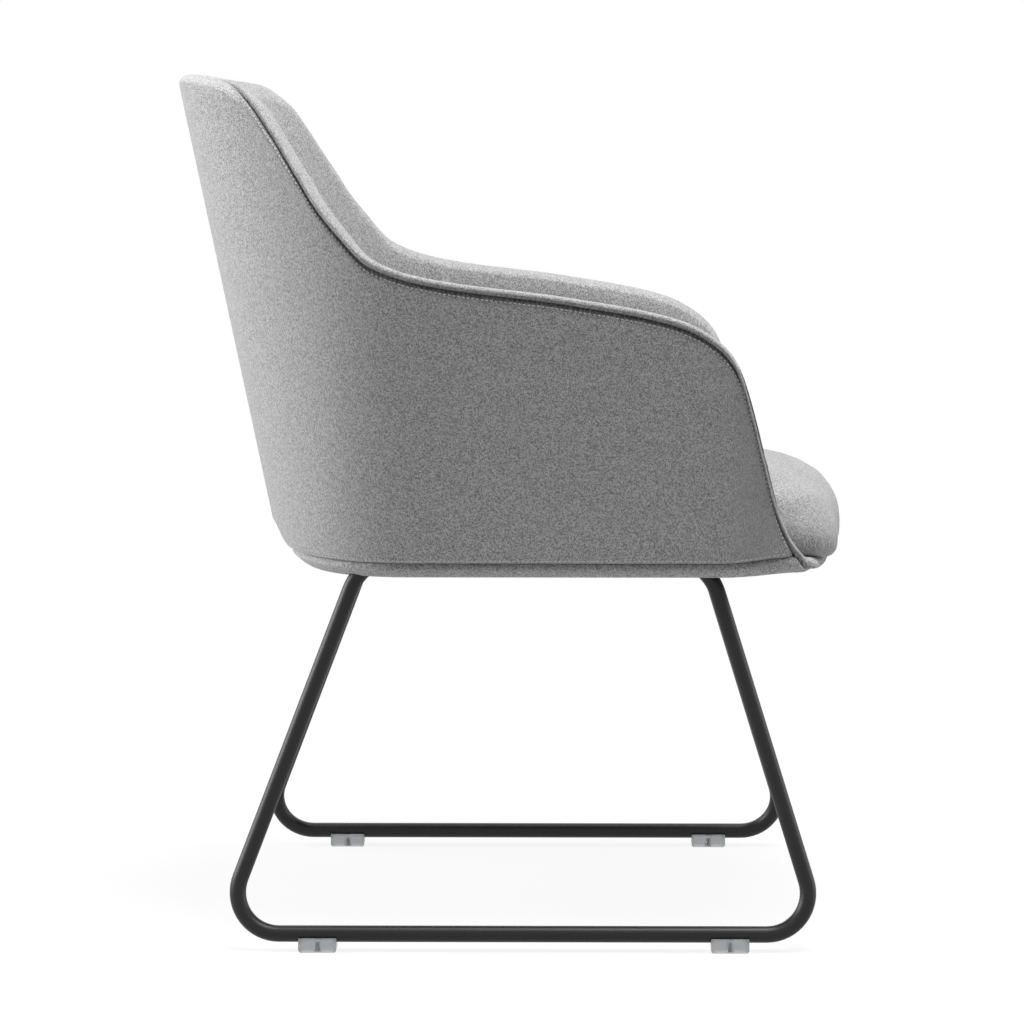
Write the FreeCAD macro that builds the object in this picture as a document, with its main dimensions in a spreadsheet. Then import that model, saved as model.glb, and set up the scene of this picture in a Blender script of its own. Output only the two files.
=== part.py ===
import FreeCAD, Part
import math
import os
import Sketcher

# Tub chair: an upholstered moulded tub on two closed loops of bent tube.
# Frame: millimetres, +Z up. The sitter faces -Y and has the right hand at -X.
# The origin lies on the floor, under the middle of the chair.

doc = FreeCAD.newDocument("TubChair")
sheet = doc.addObject("Spreadsheet::Sheet", "Sizes")

# Driving sizes in millimetres, angles in degrees where the alias ends in deg,
# and a plain number where it ends in power.
DRIVING = [
    # Sled loops of bent round tube
    ("tube_dia", 16.0),
    ("runner_height", 16.6),
    ("runner_spread", 590.0),
    ("rail_lift", 18.0),
    ("rail_inset", 35.0),
    ("runner_rear", 281.0),
    ("runner_front", 300.5),
    ("rail_rear", 145.0),
    ("rail_front", 190.0),
    ("floor_bend", 40.0),
    ("seat_bend", 50.0),
    # Clear glides under the runners
    ("glide_length", 36.7),
    ("glide_width", 22.0),
    ("glide_height", 13.3),
    ("glide_corner", 3.0),
    ("glide_rear", 186.0),
    ("glide_front", 211.2),
    ("rivet_dia", 4.0),
    ("rivet_head_dia", 7.5),
    ("rivet_sink", 1.0),
    ("rivet_reach", 5.0),
    # Cross bars and what fixes the seat board to them
    ("bar_width", 40.0),
    ("bar_thick", 5.0),
    ("bar_overhang", 6.0),
    ("bar_rear", 82.0),
    ("bar_front", 129.0),
    ("screw_dia", 6.0),
    ("screw_head_dia", 11.5),
    ("screw_head_thick", 4.0),
    ("washer_wide", 16.0),
    ("washer_thick", 1.2),
    ("screw_spread", 300.0),
    ("nut_wide", 18.0),
    ("nut_thick", 4.0),
    # Seat board, front rail and dust cover
    ("board_thick", 12.0),
    ("board_front", 288.0),
    ("board_corner", 90.0),
    ("board_bow", 6.0),
    ("rail_depth", 18.0),
    ("rail_length", 390.0),
    ("dust_thick", 1.0),
    ("dust_length", 330.0),
    ("dust_width", 360.0),
    ("edge_screw_dia", 4.0),
    ("edge_screw_length", 34.0),
    # Tub wall
    ("base_height", 355.6),
    ("side_tuck", 18.0),
    ("side_tuck_height", 30.0),
    ("back_tuck", 80.0),
    ("back_tuck_height", 64.0),
    ("arm_rise", 292.4),
    ("back_rise", 485.4),
    ("base_half_width", 250.0),
    ("arm_half_width", 286.0),
    ("back_half_width", 278.0),
    ("base_back", 236.5),
    ("back_lean_deg", 11.9),
    ("turn_start", 90.0),
    ("arm_front", 279.0),
    ("arm_wall", 33.0),
    ("back_wall", 57.0),
    ("arm_rim", 4.5),
    ("back_rim", 13.0),
    ("seam_drop", 2.0),
    ("seam_rise", 13.4),
    ("seam_step_deg", 2.0),
    ("cover_thick", 1.5),
    ("outer_foam", 4.0),
    ("core_thick", 9.0),
    ("plan_power", 2.5),
    # Seat cushion and front lip
    ("seat_rise", 95.4),
    ("nose_front", 333.0),
    ("nose_lift", 15.4),
    ("nose_depth", 100.0),
    ("nose_side", 238.0),
    ("nose_corner", 70.0),
    ("nose_bow", 14.0),
    ("lip_front", 320.0),
    ("lip_end", 283.0),
    ("lip_round", 14.0),
    ("lip_rise", 4.0),
    # Fits
    ("fit_gap", 0.3),
    ("hole_gap", 0.4),
    ("overrun", 2.0),
]
for row, (alias, value) in enumerate(DRIVING, 1):
    sheet.set("A%d" % row, alias)
    sheet.set("B%d" % row, str(value))
    sheet.setAlias("B%d" % row, alias)
doc.recompute()


def size(alias):
    return float(getattr(sheet, alias))


V = FreeCAD.Vector
UP = V(0, 0, 1)
SIDES = (("right", -1), ("left", 1))
gap = size("fit_gap")
cover = size("cover_thick")
tube_radius = size("tube_dia") / 2
# Heights of the tub, all from its underside
base_height = size("base_height")
rail_height = base_height + size("rail_lift")
seam_height = base_height + size("seam_rise")
nose_bottom = base_height + size("nose_lift")
seat_height = base_height + size("seat_rise")
arm_height = base_height + size("arm_rise")
back_height = base_height + size("back_rise")
rail_x = size("base_half_width") - size("rail_inset")
bar_bottom = rail_height + tube_radius
board_bottom = bar_bottom + size("bar_thick")
board_top = board_bottom + size("board_thick")
inner_base = max(board_top, base_height + size("back_tuck_height")) + gap
nodes = []


def piece(label, shape):
    """A sub-part whose form is a sweep or a loft, set from the sheet's sizes."""
    feature = doc.addObject("Part::Feature", label)
    feature.Label = label
    feature.Shape = shape
    feature.Placement = FreeCAD.Placement()
    nodes.append(feature)
    return feature


def arc(start, middle, end):
    return Part.Arc(start, middle, end).toShape()


# Sled loops: each is one closed run of tube, four straights joined by tangent bends.
def bend(corner, before, after, radius):
    """Start, middle and end of the tangent arc that rounds one corner of the centre line."""
    to_before = (before - corner).normalize()
    to_after = (after - corner).normalize()
    half = to_before.getAngle(to_after) / 2
    reach = radius / math.tan(half)
    inward = (to_before + to_after).normalize()
    centre = corner + inward * (radius / math.sin(half))
    return corner + to_before * reach, centre - inward * radius, corner + to_after * reach


def loop_edges(side):
    floor_x = side * size("runner_spread") / 2
    corners = [
        (V(floor_x, size("runner_rear"), size("runner_height")), size("floor_bend")),
        (V(side * rail_x, size("rail_rear"), rail_height), size("seat_bend")),
        (V(side * rail_x, -size("rail_front"), rail_height), size("seat_bend")),
        (V(floor_x, -size("runner_front"), size("runner_height")), size("floor_bend")),
    ]
    bends = []
    for index, (corner, radius) in enumerate(corners):
        before = corners[index - 1][0]
        after = corners[(index + 1) % len(corners)][0]
        bends.append(bend(corner, before, after, radius))
    weld = (bends[-1][2] + bends[0][0]) / 2
    edges = [Part.makeLine(weld, bends[0][0])]
    for index, (start, middle, end) in enumerate(bends):
        edges.append(arc(start, middle, end))
        following = bends[index + 1][0] if index + 1 < len(bends) else weld
        edges.append(Part.makeLine(end, following))
    return edges


def loop_tube(side, radius):
    edges = loop_edges(side)
    start = edges[0].Vertexes[0].Point
    along = edges[0].Vertexes[1].Point - start
    section = Part.Wire(Part.makeCircle(radius, start, along))
    return Part.Wire(edges).makePipeShell([section], True, False)


# Nothing opens the closed loops, so they are solid inside but for the rivets' holes.
for name, side in SIDES:
    tube = loop_tube(side, tube_radius)
    holes = [Part.makeCylinder((size("rivet_dia") + size("hole_gap")) / 2,
                               size("runner_height") - tube_radius + size("rivet_reach") + gap,
                               V(side * size("runner_spread") / 2, along, 0))
             for along in (size("glide_rear"), -size("glide_front"))]
    piece("sled_loop_" + name, tube.cut(holes).Solids[0])

# Tub wall: vertical sections follow the plan, straight along the arms and fanned
# round the back about one upright axis. Shares of the arm's run and rise, front to back.
ARM_RIM_SHARES = [(0.067, 0.27), (0.10, 0.44), (0.13, 0.586), (0.165, 0.71), (0.212, 0.782),
                  (0.32, 0.857), (0.60, 0.928)]
TOE_RIM_SHARES = [(0.0, 0.056), (0.03, 0.1), (0.047, 0.172), (0.066, 0.258)]
# Share of the lip's rise that the underside has taken at each row of the toe's table.
TOE_RISE_SHARES = [1.0, 0.8, 0.4, 0.0]
# Shares of the back's depth and rise, from the arms to the middle of the top edge.
BACK_RIM_SHARES = [(0.0, 0.0), (0.195, 0.0855), (0.224, 0.107), (0.335, 0.258), (0.424, 0.388),
                   (0.484, 0.497), (0.542, 0.595), (0.624, 0.736), (0.711, 0.861), (0.805, 0.925),
                   (0.917, 0.967), (1.0, 1.0)]
# Shares of the rim's half turn, and of the foot's quarter turn, where a section has a corner.
BROW_SHARES = [0.0, 0.17, 0.33, 0.5, 0.67, 0.83, 1.0]
FOOT_SHARES = [0.0, 0.5, 1.0]
# Degrees in the foot's quarter turn.
QUARTER = 90.0
# Most of the rise above the inner wall's foot that the rounded rim may take.
RIM_DEPTH_SHARE = 0.8
# Shares of the quarter turn at which the back's sections stand.
TURN_SHARES = [0.0, 0.13, 0.25, 0.36, 0.48, 0.62, 0.8]
# Rounds in which a section's height and plan settle on each other.
HEIGHT_ROUNDS = 60


def read_shares(table, share):
    """Value of a table of shares between its rows."""
    for (low, low_value), (high, high_value) in zip(table, table[1:]):
        if share <= high:
            part = max(0.0, (share - low) / (high - low))
            return low_value + part * (high_value - low_value)
    return table[-1][1]


def level_half_width(level):
    """Half the tub's width over its outer face at one height."""
    if level < arm_height:
        share = (level - base_height) / size("arm_rise")
        return size("base_half_width") + share * (size("arm_half_width") - size("base_half_width"))
    share = (level - arm_height) / (back_height - arm_height)
    return size("arm_half_width") + share * (size("back_half_width") - size("arm_half_width"))


def level_back(level):
    """Depth of the outer face behind the turn's axis at one height."""
    lean = math.tan(math.radians(size("back_lean_deg")))
    return size("base_back") - size("turn_start") + lean * (level - base_height)


class Station:
    """One upright section of the tub wall."""

    def __init__(self, origin, direction, base_reach, rim_reach, height, around, square):
        self.origin, self.direction = origin, direction
        self.base_reach, self.rim_reach, self.height = base_reach, rim_reach, height
        rise = height - base_height
        self.slant = (rim_reach - base_reach) / rise
        self.spread = math.sqrt(1 + self.slant ** 2) / square
        self.thick = size("arm_wall") + around * (size("back_wall") - size("arm_wall"))
        self.edge = size("arm_rim") + around * (size("back_rim") - size("arm_rim"))
        self.tuck = size("side_tuck") + around * (size("back_tuck") - size("side_tuck"))
        self.tuck_height = (size("side_tuck_height")
                            + around * (size("back_tuck_height") - size("side_tuck_height")))
        self.bend_level = base_height + self.tuck_height
        self.steep = 1.0

    def set_steep(self, before, after):
        run = after.crest() - before.crest()
        flat = math.hypot(run.x, run.y)
        self.steep = math.sqrt(1 + (run.z / flat) ** 2)
        self.shoulder = self.height - min(self.edge * self.steep,
                                          RIM_DEPTH_SHARE * (self.height - inner_base))

    def at(self, inset, level):
        """Point on the section, inset from the tub's outer face."""
        reach = self.base_reach + self.slant * (level - base_height) - inset * self.spread
        return self.origin + self.direction * reach + UP * level

    def crest(self):
        return self.at(self.thick / 2, self.height)

    def tucked(self, inset, angle):
        """Point on the rounded foot of the section, angle 0 at its top and 90 underneath."""
        start = self.at(inset, self.bend_level)
        turn = math.radians(angle)
        inward = (self.tuck - inset) * (1 - math.cos(turn))
        return start - self.direction * inward - UP * ((self.tuck_height - inset) * math.sin(turn))

    def face(self, inset, level):
        """Point on the section at any level, also where its foot curls under."""
        if level >= self.bend_level:
            return self.at(inset, level)
        below = (self.bend_level - level) / (self.tuck_height - inset)
        return self.tucked(inset, math.degrees(math.asin(min(1.0, below))))

    def seam_angle(self):
        """Where on the rounded foot the lower seam runs."""
        below = (self.bend_level - seam_height) / self.tuck_height
        return math.degrees(math.asin(below))

    def foot(self, inset, low, high):
        """Points down the rounded foot between two angles."""
        return [self.tucked(inset, low + share * (high - low)) for share in FOOT_SHARES]

    def brow(self, inset):
        """Points over the rounded rim, from the outer shoulder across the crest to the inner."""
        middle = self.thick / 2
        half = middle - inset
        drop = self.height - inset * self.steep - self.shoulder
        return [self.at(middle - half * math.cos(angle), self.shoulder + drop * math.sin(angle))
                for angle in (share * math.pi for share in BROW_SHARES)]


def arm_station(side, run_share, rise_share):
    run = size("turn_start") + size("arm_front")
    along = -size("arm_front") + run_share * run
    height = base_height + rise_share * size("arm_rise")
    return Station(V(0, along, 0), V(side, 0, 0), size("base_half_width"),
                   level_half_width(height), height, 0.0, 1.0)


def polar_reach(angle, half_width, depth):
    """Reach of the rounded plan from the turn's axis, and how squarely it faces there."""
    power = size("plan_power")
    across = abs(math.cos(angle)) / half_width
    behind = abs(math.sin(angle)) / depth
    reach = (across ** power + behind ** power) ** (-1 / power)
    normal_x = (across * reach) ** (power - 1) / half_width
    normal_y = (behind * reach) ** (power - 1) / depth
    square = (normal_x * abs(math.cos(angle)) + normal_y * abs(math.sin(angle)))
    return reach, square / math.hypot(normal_x, normal_y)


def turn_station(angle):
    """Section at an angle round the back, 0 at the right arm and pi at the left."""
    around = math.sin(angle) ** 2
    half_wall = (size("arm_wall") + around * (size("back_wall") - size("arm_wall"))) / 2
    depth = level_back(back_height) - size("back_wall") / 2
    base, _ = polar_reach(angle, size("base_half_width"), level_back(base_height))
    height = arm_height
    for _ in range(HEIGHT_ROUNDS):
        rim, square = polar_reach(angle, level_half_width(height), level_back(height))
        behind = (rim - half_wall / square) * math.sin(angle)
        rise = read_shares(BACK_RIM_SHARES, behind / depth)
        height += (arm_height + rise * (back_height - arm_height) - height) / 2
    return Station(V(0, size("turn_start"), 0), V(-math.cos(angle), math.sin(angle), 0),
                   base, rim, height, around, square)


def wall_stations():
    quarter = [share * math.pi / 2 for share in TURN_SHARES]
    angles = quarter + [math.pi / 2] + [math.pi - angle for angle in reversed(quarter)]
    right = [arm_station(-1, *shares) for shares in ARM_RIM_SHARES]
    left = [arm_station(1, *shares) for shares in reversed(ARM_RIM_SHARES)]
    stations = right + [turn_station(angle) for angle in angles] + left
    for index, station in enumerate(stations):
        before = stations[max(index - 1, 0)]
        after = stations[min(index + 1, len(stations) - 1)]
        station.set_steep(before, after)
    return stations


def closed(points):
    return Part.makePolygon(points + [points[0]])


def wall_loft(stations, section):
    return Part.makeLoft([closed(section(station)) for station in stations], True, True)


def wire(edges):
    return Part.Wire(edges)


def line(start, end):
    return Part.makeLine(start, end)


foam_outer = cover + gap
foam_inner = foam_outer + size("outer_foam")
core_outer = foam_inner + gap
core_inner = core_outer + size("core_thick")


def whole_foot(station, inset):
    seam = station.seam_angle()
    return station.foot(inset, 0.0, seam) + station.foot(inset, seam, QUARTER)[1:]


def side_strip(station, outside, inside, top):
    """Outer-side layer, from a level near the rim down and round the foot."""
    return ([station.at(outside, top)] + whole_foot(station, outside)
            + whole_foot(station, inside)[::-1] + [station.at(inside, top)])


def outer_cover_section(station):
    seam = station.seam_angle()
    top = station.shoulder - size("seam_drop") - gap
    return ([station.at(0.0, top)] + station.foot(0.0, 0.0, seam)
            + station.foot(cover, 0.0, seam)[::-1] + [station.at(cover, top)])


def outer_foam_section(station):
    return side_strip(station, foam_outer, foam_inner, station.shoulder - gap)


def core_section(station):
    return side_strip(station, core_outer, core_inner, station.shoulder - gap)


def bottom_band_section(station):
    start = station.seam_angle() + size("seam_step_deg")
    return station.foot(0.0, start, QUARTER) + station.foot(cover, start, QUARTER)[::-1]


def inner_foam_section(station):
    return ([station.at(core_inner + gap, inner_base), station.at(core_inner + gap, station.shoulder)]
            + station.brow(foam_outer)[::2] + [station.at(station.thick - foam_outer, inner_base)])


def inner_cover_section(station):
    flap = station.shoulder - size("seam_drop")
    return ([station.at(0.0, flap)] + station.brow(0.0)
            + [station.at(station.thick, inner_base), station.at(station.thick - cover, inner_base)]
            + station.brow(cover)[::-1] + [station.at(cover, flap)])


stations = wall_stations()
core = wall_loft(stations, core_section)


def rim_angle(share):
    return share * math.pi


# Edge screws: driven level through the moulded core into the edge of the seat board, one
# at each share of the half turn round the back and one at each share of either arm's run.
EDGE_SCREW_TURN_SHARES = [0.5]
EDGE_SCREW_ARM_SHARES = [0.45]


def edge_screw_stations():
    found = [turn_station(rim_angle(share)) for share in EDGE_SCREW_TURN_SHARES]
    for _, side in SIDES:
        found += [arm_station(side, share, read_shares(ARM_RIM_SHARES, share))
                  for share in EDGE_SCREW_ARM_SHARES]
    return found


def edge_screw(station, radius, start_inset, length):
    level = (board_bottom + board_top) / 2
    return Part.makeCylinder(radius, length, station.face(start_inset, level),
                             station.direction * -1)


def edge_holes():
    radius = (size("edge_screw_dia") + size("hole_gap")) / 2
    return [edge_screw(station, radius, core_outer - size("overrun"),
                       size("edge_screw_length") + 2 * size("overrun"))
            for station in edge_screw_stations()]


piece("shell_core", core.cut(edge_holes()))
piece("outer_foam", wall_loft(stations, outer_foam_section))
piece("inner_foam", wall_loft(stations, inner_foam_section))
piece("outer_cover", wall_loft(stations, outer_cover_section))
piece("inner_cover", wall_loft(stations, inner_cover_section))
piece("bottom_band", wall_loft(stations, bottom_band_section))
screws = [edge_screw(station, size("edge_screw_dia") / 2, core_outer, size("edge_screw_length"))
          for station in edge_screw_stations()]
piece("edge_screws", Part.makeCompound(screws))


# Arm toes: the padded ends of the arms, under the lowest part of the rim. Most of a
# section's rise that its rounded rim and its rounded foot may take.
TOE_RIM_SHARE, TOE_FOOT_SHARE = 1 / 2, 1 / 3


def toe_section(side, run_share, rise_share, steep, lift):
    station = arm_station(side, run_share, rise_share)
    base = base_height + lift
    rise = station.height - base
    station.steep = steep
    station.shoulder = station.height - min(size("arm_rim") * steep, TOE_RIM_SHARE * rise)
    station.tuck_height = min(size("side_tuck_height"), TOE_FOOT_SHARE * rise)
    station.bend_level = base + station.tuck_height
    return closed(station.brow(0.0) + [station.at(station.thick, base)]
                  + station.foot(0.0, 0.0, QUARTER)[::-1])


def arm_toe(side):
    sections = []
    for index, (run, rise) in enumerate(TOE_RIM_SHARES):
        low = TOE_RIM_SHARES[max(index - 1, 0)]
        high = TOE_RIM_SHARES[min(index + 1, len(TOE_RIM_SHARES) - 1)]
        length = (high[0] - low[0]) * (size("turn_start") + size("arm_front"))
        climb = (high[1] - low[1]) * size("arm_rise")
        lift = TOE_RISE_SHARES[index] * size("lip_rise")
        sections.append(toe_section(side, run, rise, math.hypot(length, climb) / length, lift))
    return Part.makeLoft(sections, True, True)


for name, side in SIDES:
    piece("arm_toe_" + name, arm_toe(side))


# Seat: plan outlines that follow the tub's inner face and close in front with a bowed edge.
# The back of an outline is a row of arcs, with this many steps between points on the wall.
BACK_STEPS = 8


def plan_outline(against, level, front, corner_start, corner, bow, grow=0.0):
    """Closed outline at one level, along points against the tub wall, moved in by grow."""
    back = [against(turn_station(rim_angle(step / BACK_STEPS))) for step in range(BACK_STEPS + 1)]
    if grow:
        axis = V(0, size("turn_start"), level)
        back = [point + (axis - point).normalize() * grow for point in back]
    edges = [arc(*back[index:index + 3]) for index in range(0, BACK_STEPS, 2)]
    right, left = back[0], back[-1]
    diagonal = math.sqrt(0.5)
    half, narrow = left.x, left.x - corner
    front_y, corner_y = -front + bow, -corner_start
    turn_x = narrow + corner * diagonal
    turn_y = corner_y + (front_y - corner_y) * diagonal
    edges += [line(left, V(half, corner_y, level)),
              arc(V(half, corner_y, level), V(turn_x, turn_y, level), V(narrow, front_y, level)),
              arc(V(narrow, front_y, level), V(0, -front, level), V(-narrow, front_y, level)),
              arc(V(-narrow, front_y, level), V(-turn_x, turn_y, level), V(-half, corner_y, level)),
              line(V(-half, corner_y, level), right)]
    return wire(edges)


def board_outline(level):
    corner_start = size("board_front") - size("board_corner")
    return plan_outline(lambda station: station.face(core_inner + gap, level), level,
                        size("board_front"), corner_start, size("board_corner"), size("board_bow"))


def screw_places():
    return [V(side * size("screw_spread") / 2, along, 0) for _, side in SIDES
            for along in (size("bar_rear"), -size("bar_front"))]


def nut_pocket(place):
    wide = size("nut_wide") + 2 * gap
    return Part.makeBox(wide, wide, size("nut_thick") + gap + size("overrun"),
                        place + V(-wide / 2, -wide / 2, board_top - size("nut_thick") - gap))


screw_holes = [Part.makeCylinder((size("screw_dia") + size("hole_gap")) / 2,
                                 size("board_thick"), place + UP * board_bottom)
               for place in screw_places()]
nut_pockets = [nut_pocket(place) for place in screw_places()]
board = Part.makeLoft([board_outline(board_bottom), board_outline(board_top)], True, True)
piece("seat_board", board.cut(screw_holes + nut_pockets + edge_holes()))

# Crown and nose of the cushion: level share, share of the nose's depth that the front
# stands back, and share of it that the sides stand in.
CUSHION_SHARES = [(0.0, 0.09, 0.04), (0.08, 0.03, 0.01), (0.28, 0.0, 0.0), (0.48, 0.03, 0.0),
                  (0.66, 0.08, 0.01), (0.82, 0.21, 0.06), (0.94, 0.48, 0.16), (1.0, 0.85, 0.38)]


def cushion_body(skin):
    """The cushion's whole form, drawn in everywhere by the skin's thickness."""
    rise = seat_height - nose_bottom
    outlines = []
    for level_share, front_share, side_share in CUSHION_SHARES:
        level = nose_bottom + skin + level_share * (rise - 2 * skin)
        front = size("nose_front") - front_share * size("nose_depth") - skin
        corner_start = size("nose_side") - front_share * size("nose_depth")
        outlines.append(plan_outline(lambda station: station.at(station.thick + gap, level),
                                     level, front, corner_start,
                                     size("nose_corner"), size("nose_bow"),
                                     skin + side_share * size("nose_depth")))
    return Part.makeLoft(outlines, True, True)


def below_board(clear):
    """The space under the cushion that belongs to the board and the arms."""
    reach = 2 * size("arm_half_width")
    depth = size("board_front") + clear + reach
    return Part.makeBox(2 * reach, depth, board_top + clear, V(-reach, -size("board_front") - clear, 0))


cushion = cushion_body(0.0)
seat_foam = cushion_body(cover + gap).cut(below_board(gap))
seat_cover = cushion.cut(below_board(gap)).cut(cushion_body(cover))
piece("seat_foam", seat_foam)
piece("seat_cover", seat_cover)

# Front lip: the covered edge that closes the underside below the cushion's nose.
LIP_SHARES = [(0.0, 1.0), (0.3, 0.55), (0.65, 0.18), (1.0, 0.0)]


def front_lip():
    outlines = []
    low, top = base_height + size("lip_rise"), nose_bottom - gap
    half, back = size("base_half_width") - size("side_tuck"), -size("arm_front") - gap
    for level_share, back_share in LIP_SHARES:
        level = low + level_share * (top - low)
        end, front = -size("lip_end"), back_share * size("lip_round") - size("lip_front")
        outlines.append(wire([line(V(-half, back, level), V(-half, end, level)),
                              arc(V(-half, end, level), V(0, front, level), V(half, end, level)),
                              line(V(half, end, level), V(half, back, level)),
                              line(V(half, back, level), V(-half, back, level))]))
    return Part.makeLoft(outlines, True, True)


piece("front_lip", front_lip())


# Pieces made as sketched and padded bodies, or as bound primitives. These are the levels
# that they stand on, as expressions.
BAR_BOTTOM = "Sizes.base_height + Sizes.rail_lift + Sizes.tube_dia / 2"
BOARD_BOTTOM = BAR_BOTTOM + " + Sizes.bar_thick"
BOARD_TOP = BOARD_BOTTOM + " + Sizes.board_thick"
NOSE_BOTTOM = "Sizes.base_height + Sizes.nose_lift"


def plane_of(body, role):
    return next(item for item in body.Origin.OriginFeatures if item.Role == role)


def sketch_on(body, name, role="XY_Plane"):
    sketch = body.newObject("Sketcher::SketchObject", name)
    sketch.AttachmentSupport = [(plane_of(body, role), "")]
    sketch.MapMode = "FlatFace"
    return sketch


def sketch_rectangle(sketch, width, depth):
    """Rectangle about the sketch's origin, its sides bound to two expressions."""
    corners = [V(-1, -1, 0), V(1, -1, 0), V(1, 1, 0), V(-1, 1, 0)]
    for index, corner in enumerate(corners):
        sketch.addGeometry(Part.LineSegment(corner, corners[(index + 1) % 4]), False)
    for index in range(4):
        sketch.addConstraint(Sketcher.Constraint("Coincident", index, 2, (index + 1) % 4, 1))
    for index, kind in enumerate(("Horizontal", "Vertical", "Horizontal", "Vertical")):
        sketch.addConstraint(Sketcher.Constraint(kind, index))
    sketch.addConstraint(Sketcher.Constraint("Symmetric", 0, 1, 2, 1, -1, 1))
    across = sketch.addConstraint(Sketcher.Constraint("DistanceX", 0, 1, 0, 2, 2.0))
    along = sketch.addConstraint(Sketcher.Constraint("DistanceY", 1, 1, 1, 2, 2.0))
    sketch.setExpression("Constraints[%d]" % across, width)
    sketch.setExpression("Constraints[%d]" % along, depth)


def sketch_hole(sketch, across, diameter):
    """Round hole on the sketch's X axis, bound to two expressions."""
    circle = sketch.addGeometry(Part.Circle(V(across[0], 0, 0), V(0, 0, 1), 1), False)
    sketch.addConstraint(Sketcher.Constraint("PointOnObject", circle, 3, -1))
    radius = sketch.addConstraint(Sketcher.Constraint("Diameter", circle, 2.0))
    place = sketch.addConstraint(Sketcher.Constraint("DistanceX", -1, 1, circle, 3, across[0]))
    sketch.setExpression("Constraints[%d]" % radius, diameter)
    sketch.setExpression("Constraints[%d]" % place, across[1])


def cross_bar(label, along):
    """Flat steel bar over both rails, drilled for the board's screws."""
    body = doc.addObject("PartDesign::Body", label)
    body.Label = label
    sketch = sketch_on(body, label + "_outline")
    sketch_rectangle(sketch, "2 * (Sizes.base_half_width - Sizes.rail_inset) + Sizes.tube_dia"
                             " + 2 * Sizes.bar_overhang", "Sizes.bar_width")
    for sign, mark in ((1, ""), (-1, "-")):
        sketch_hole(sketch, (sign * size("screw_spread") / 2, mark + "Sizes.screw_spread / 2"),
                    "Sizes.screw_dia + Sizes.hole_gap")
    pad = body.newObject("PartDesign::Pad", label + "_plate")
    pad.Profile = sketch
    pad.setExpression("Length", "Sizes.bar_thick")
    sketch.Visibility = False
    body.setExpression("Placement.Base.y", along)
    body.setExpression("Placement.Base.z", BAR_BOTTOM)
    nodes.append(body)
    return body


cross_bar("cross_bar_rear", "Sizes.bar_rear")
cross_bar("cross_bar_front", "-Sizes.bar_front")


def bound(kind, label, sizes, place, turned=None):
    """A Part primitive with its sizes and place bound to expressions on the sheet."""
    item = doc.addObject("Part::" + kind, label)
    if turned:
        item.Placement = FreeCAD.Placement(V(), turned)
    for name, expression in sizes.items():
        item.setExpression(name, expression)
    for axis, expression in zip("xyz", place):
        item.setExpression("Placement.Base." + axis, expression)
    return item


def joined(label, parts):
    union = doc.addObject("Part::MultiFuse", label)
    union.Shapes = parts
    union.Refine = True
    return union


def hollowed(label, base, tool):
    cut = doc.addObject("Part::Cut", label)
    cut.Base, cut.Tool = base, tool
    return cut


def node(item, label):
    item.Label = label
    nodes.append(item)
    return item


def grouped(label, items):
    group = doc.addObject("Part::Compound", label)
    group.Links = items
    return node(group, label)


node(bound("Box", "front_rail",
           {"Length": "Sizes.rail_length", "Width": "Sizes.rail_depth",
            "Height": BOARD_BOTTOM + " - (" + NOSE_BOTTOM + ")"},
           ("-Sizes.rail_length / 2", "-Sizes.board_front", NOSE_BOTTOM)), "front_rail")


# Where the bars are screwed to the board: a name, then X and Y as expressions.
FIXINGS = [(end + "_" + side, mark + "Sizes.screw_spread / 2", along)
           for side, mark in (("right", "-"), ("left", ""))
           for end, along in (("rear", "Sizes.bar_rear"), ("front", "-Sizes.bar_front"))]


def mount_screw(name, x, y):
    """Hexagon-head screw, from under the bar up to the nut plate's top."""
    under = BAR_BOTTOM + " - Sizes.washer_thick - Sizes.screw_head_thick"
    head = bound("Prism", "screw_head_" + name,
                 {"Circumradius": "Sizes.screw_head_dia / 2", "Height": "Sizes.screw_head_thick"},
                 (x, y, under))
    shank = bound("Cylinder", "screw_shank_" + name,
                  {"Radius": "Sizes.screw_dia / 2",
                   "Height": "Sizes.washer_thick + Sizes.screw_head_thick + Sizes.bar_thick"
                             " + Sizes.board_thick"}, (x, y, under))
    return joined("screw_" + name, [head, shank])


def square_plate(name, wide, thick, hole, x, y, base):
    """Square plate about a round hole, its base at a given height."""
    plate = bound("Box", name + "_plate", {"Length": wide, "Width": wide, "Height": thick},
                  (x + " - " + wide + " / 2", y + " - " + wide + " / 2", base))
    bore = bound("Cylinder", name + "_bore", {"Radius": hole + " / 2", "Height": thick},
                 (x, y, base))
    return hollowed(name, plate, bore)


grouped("mount_screws", [mount_screw(*fixing) for fixing in FIXINGS])
grouped("mount_washers",
        [square_plate("washer_" + name, "Sizes.washer_wide", "Sizes.washer_thick",
                      "(Sizes.screw_dia + Sizes.hole_gap)", x, y,
                      BAR_BOTTOM + " - Sizes.washer_thick") for name, x, y in FIXINGS])
grouped("board_nuts",
        [square_plate("nut_" + name, "Sizes.nut_wide", "Sizes.nut_thick", "Sizes.screw_dia",
                      x, y, BOARD_TOP + " - Sizes.nut_thick") for name, x, y in FIXINGS])


# Glides: clear saddles under the runners, each held by one cone-headed rivet
GLIDES = [(end + "_" + side, mark + "Sizes.runner_spread / 2", along)
          for side, mark in (("right", "-"), ("left", ""))
          for end, along in (("rear", "Sizes.glide_rear"), ("front", "-Sizes.glide_front"))]
TUBE_BOTTOM = "Sizes.runner_height - Sizes.tube_dia / 2"


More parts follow.
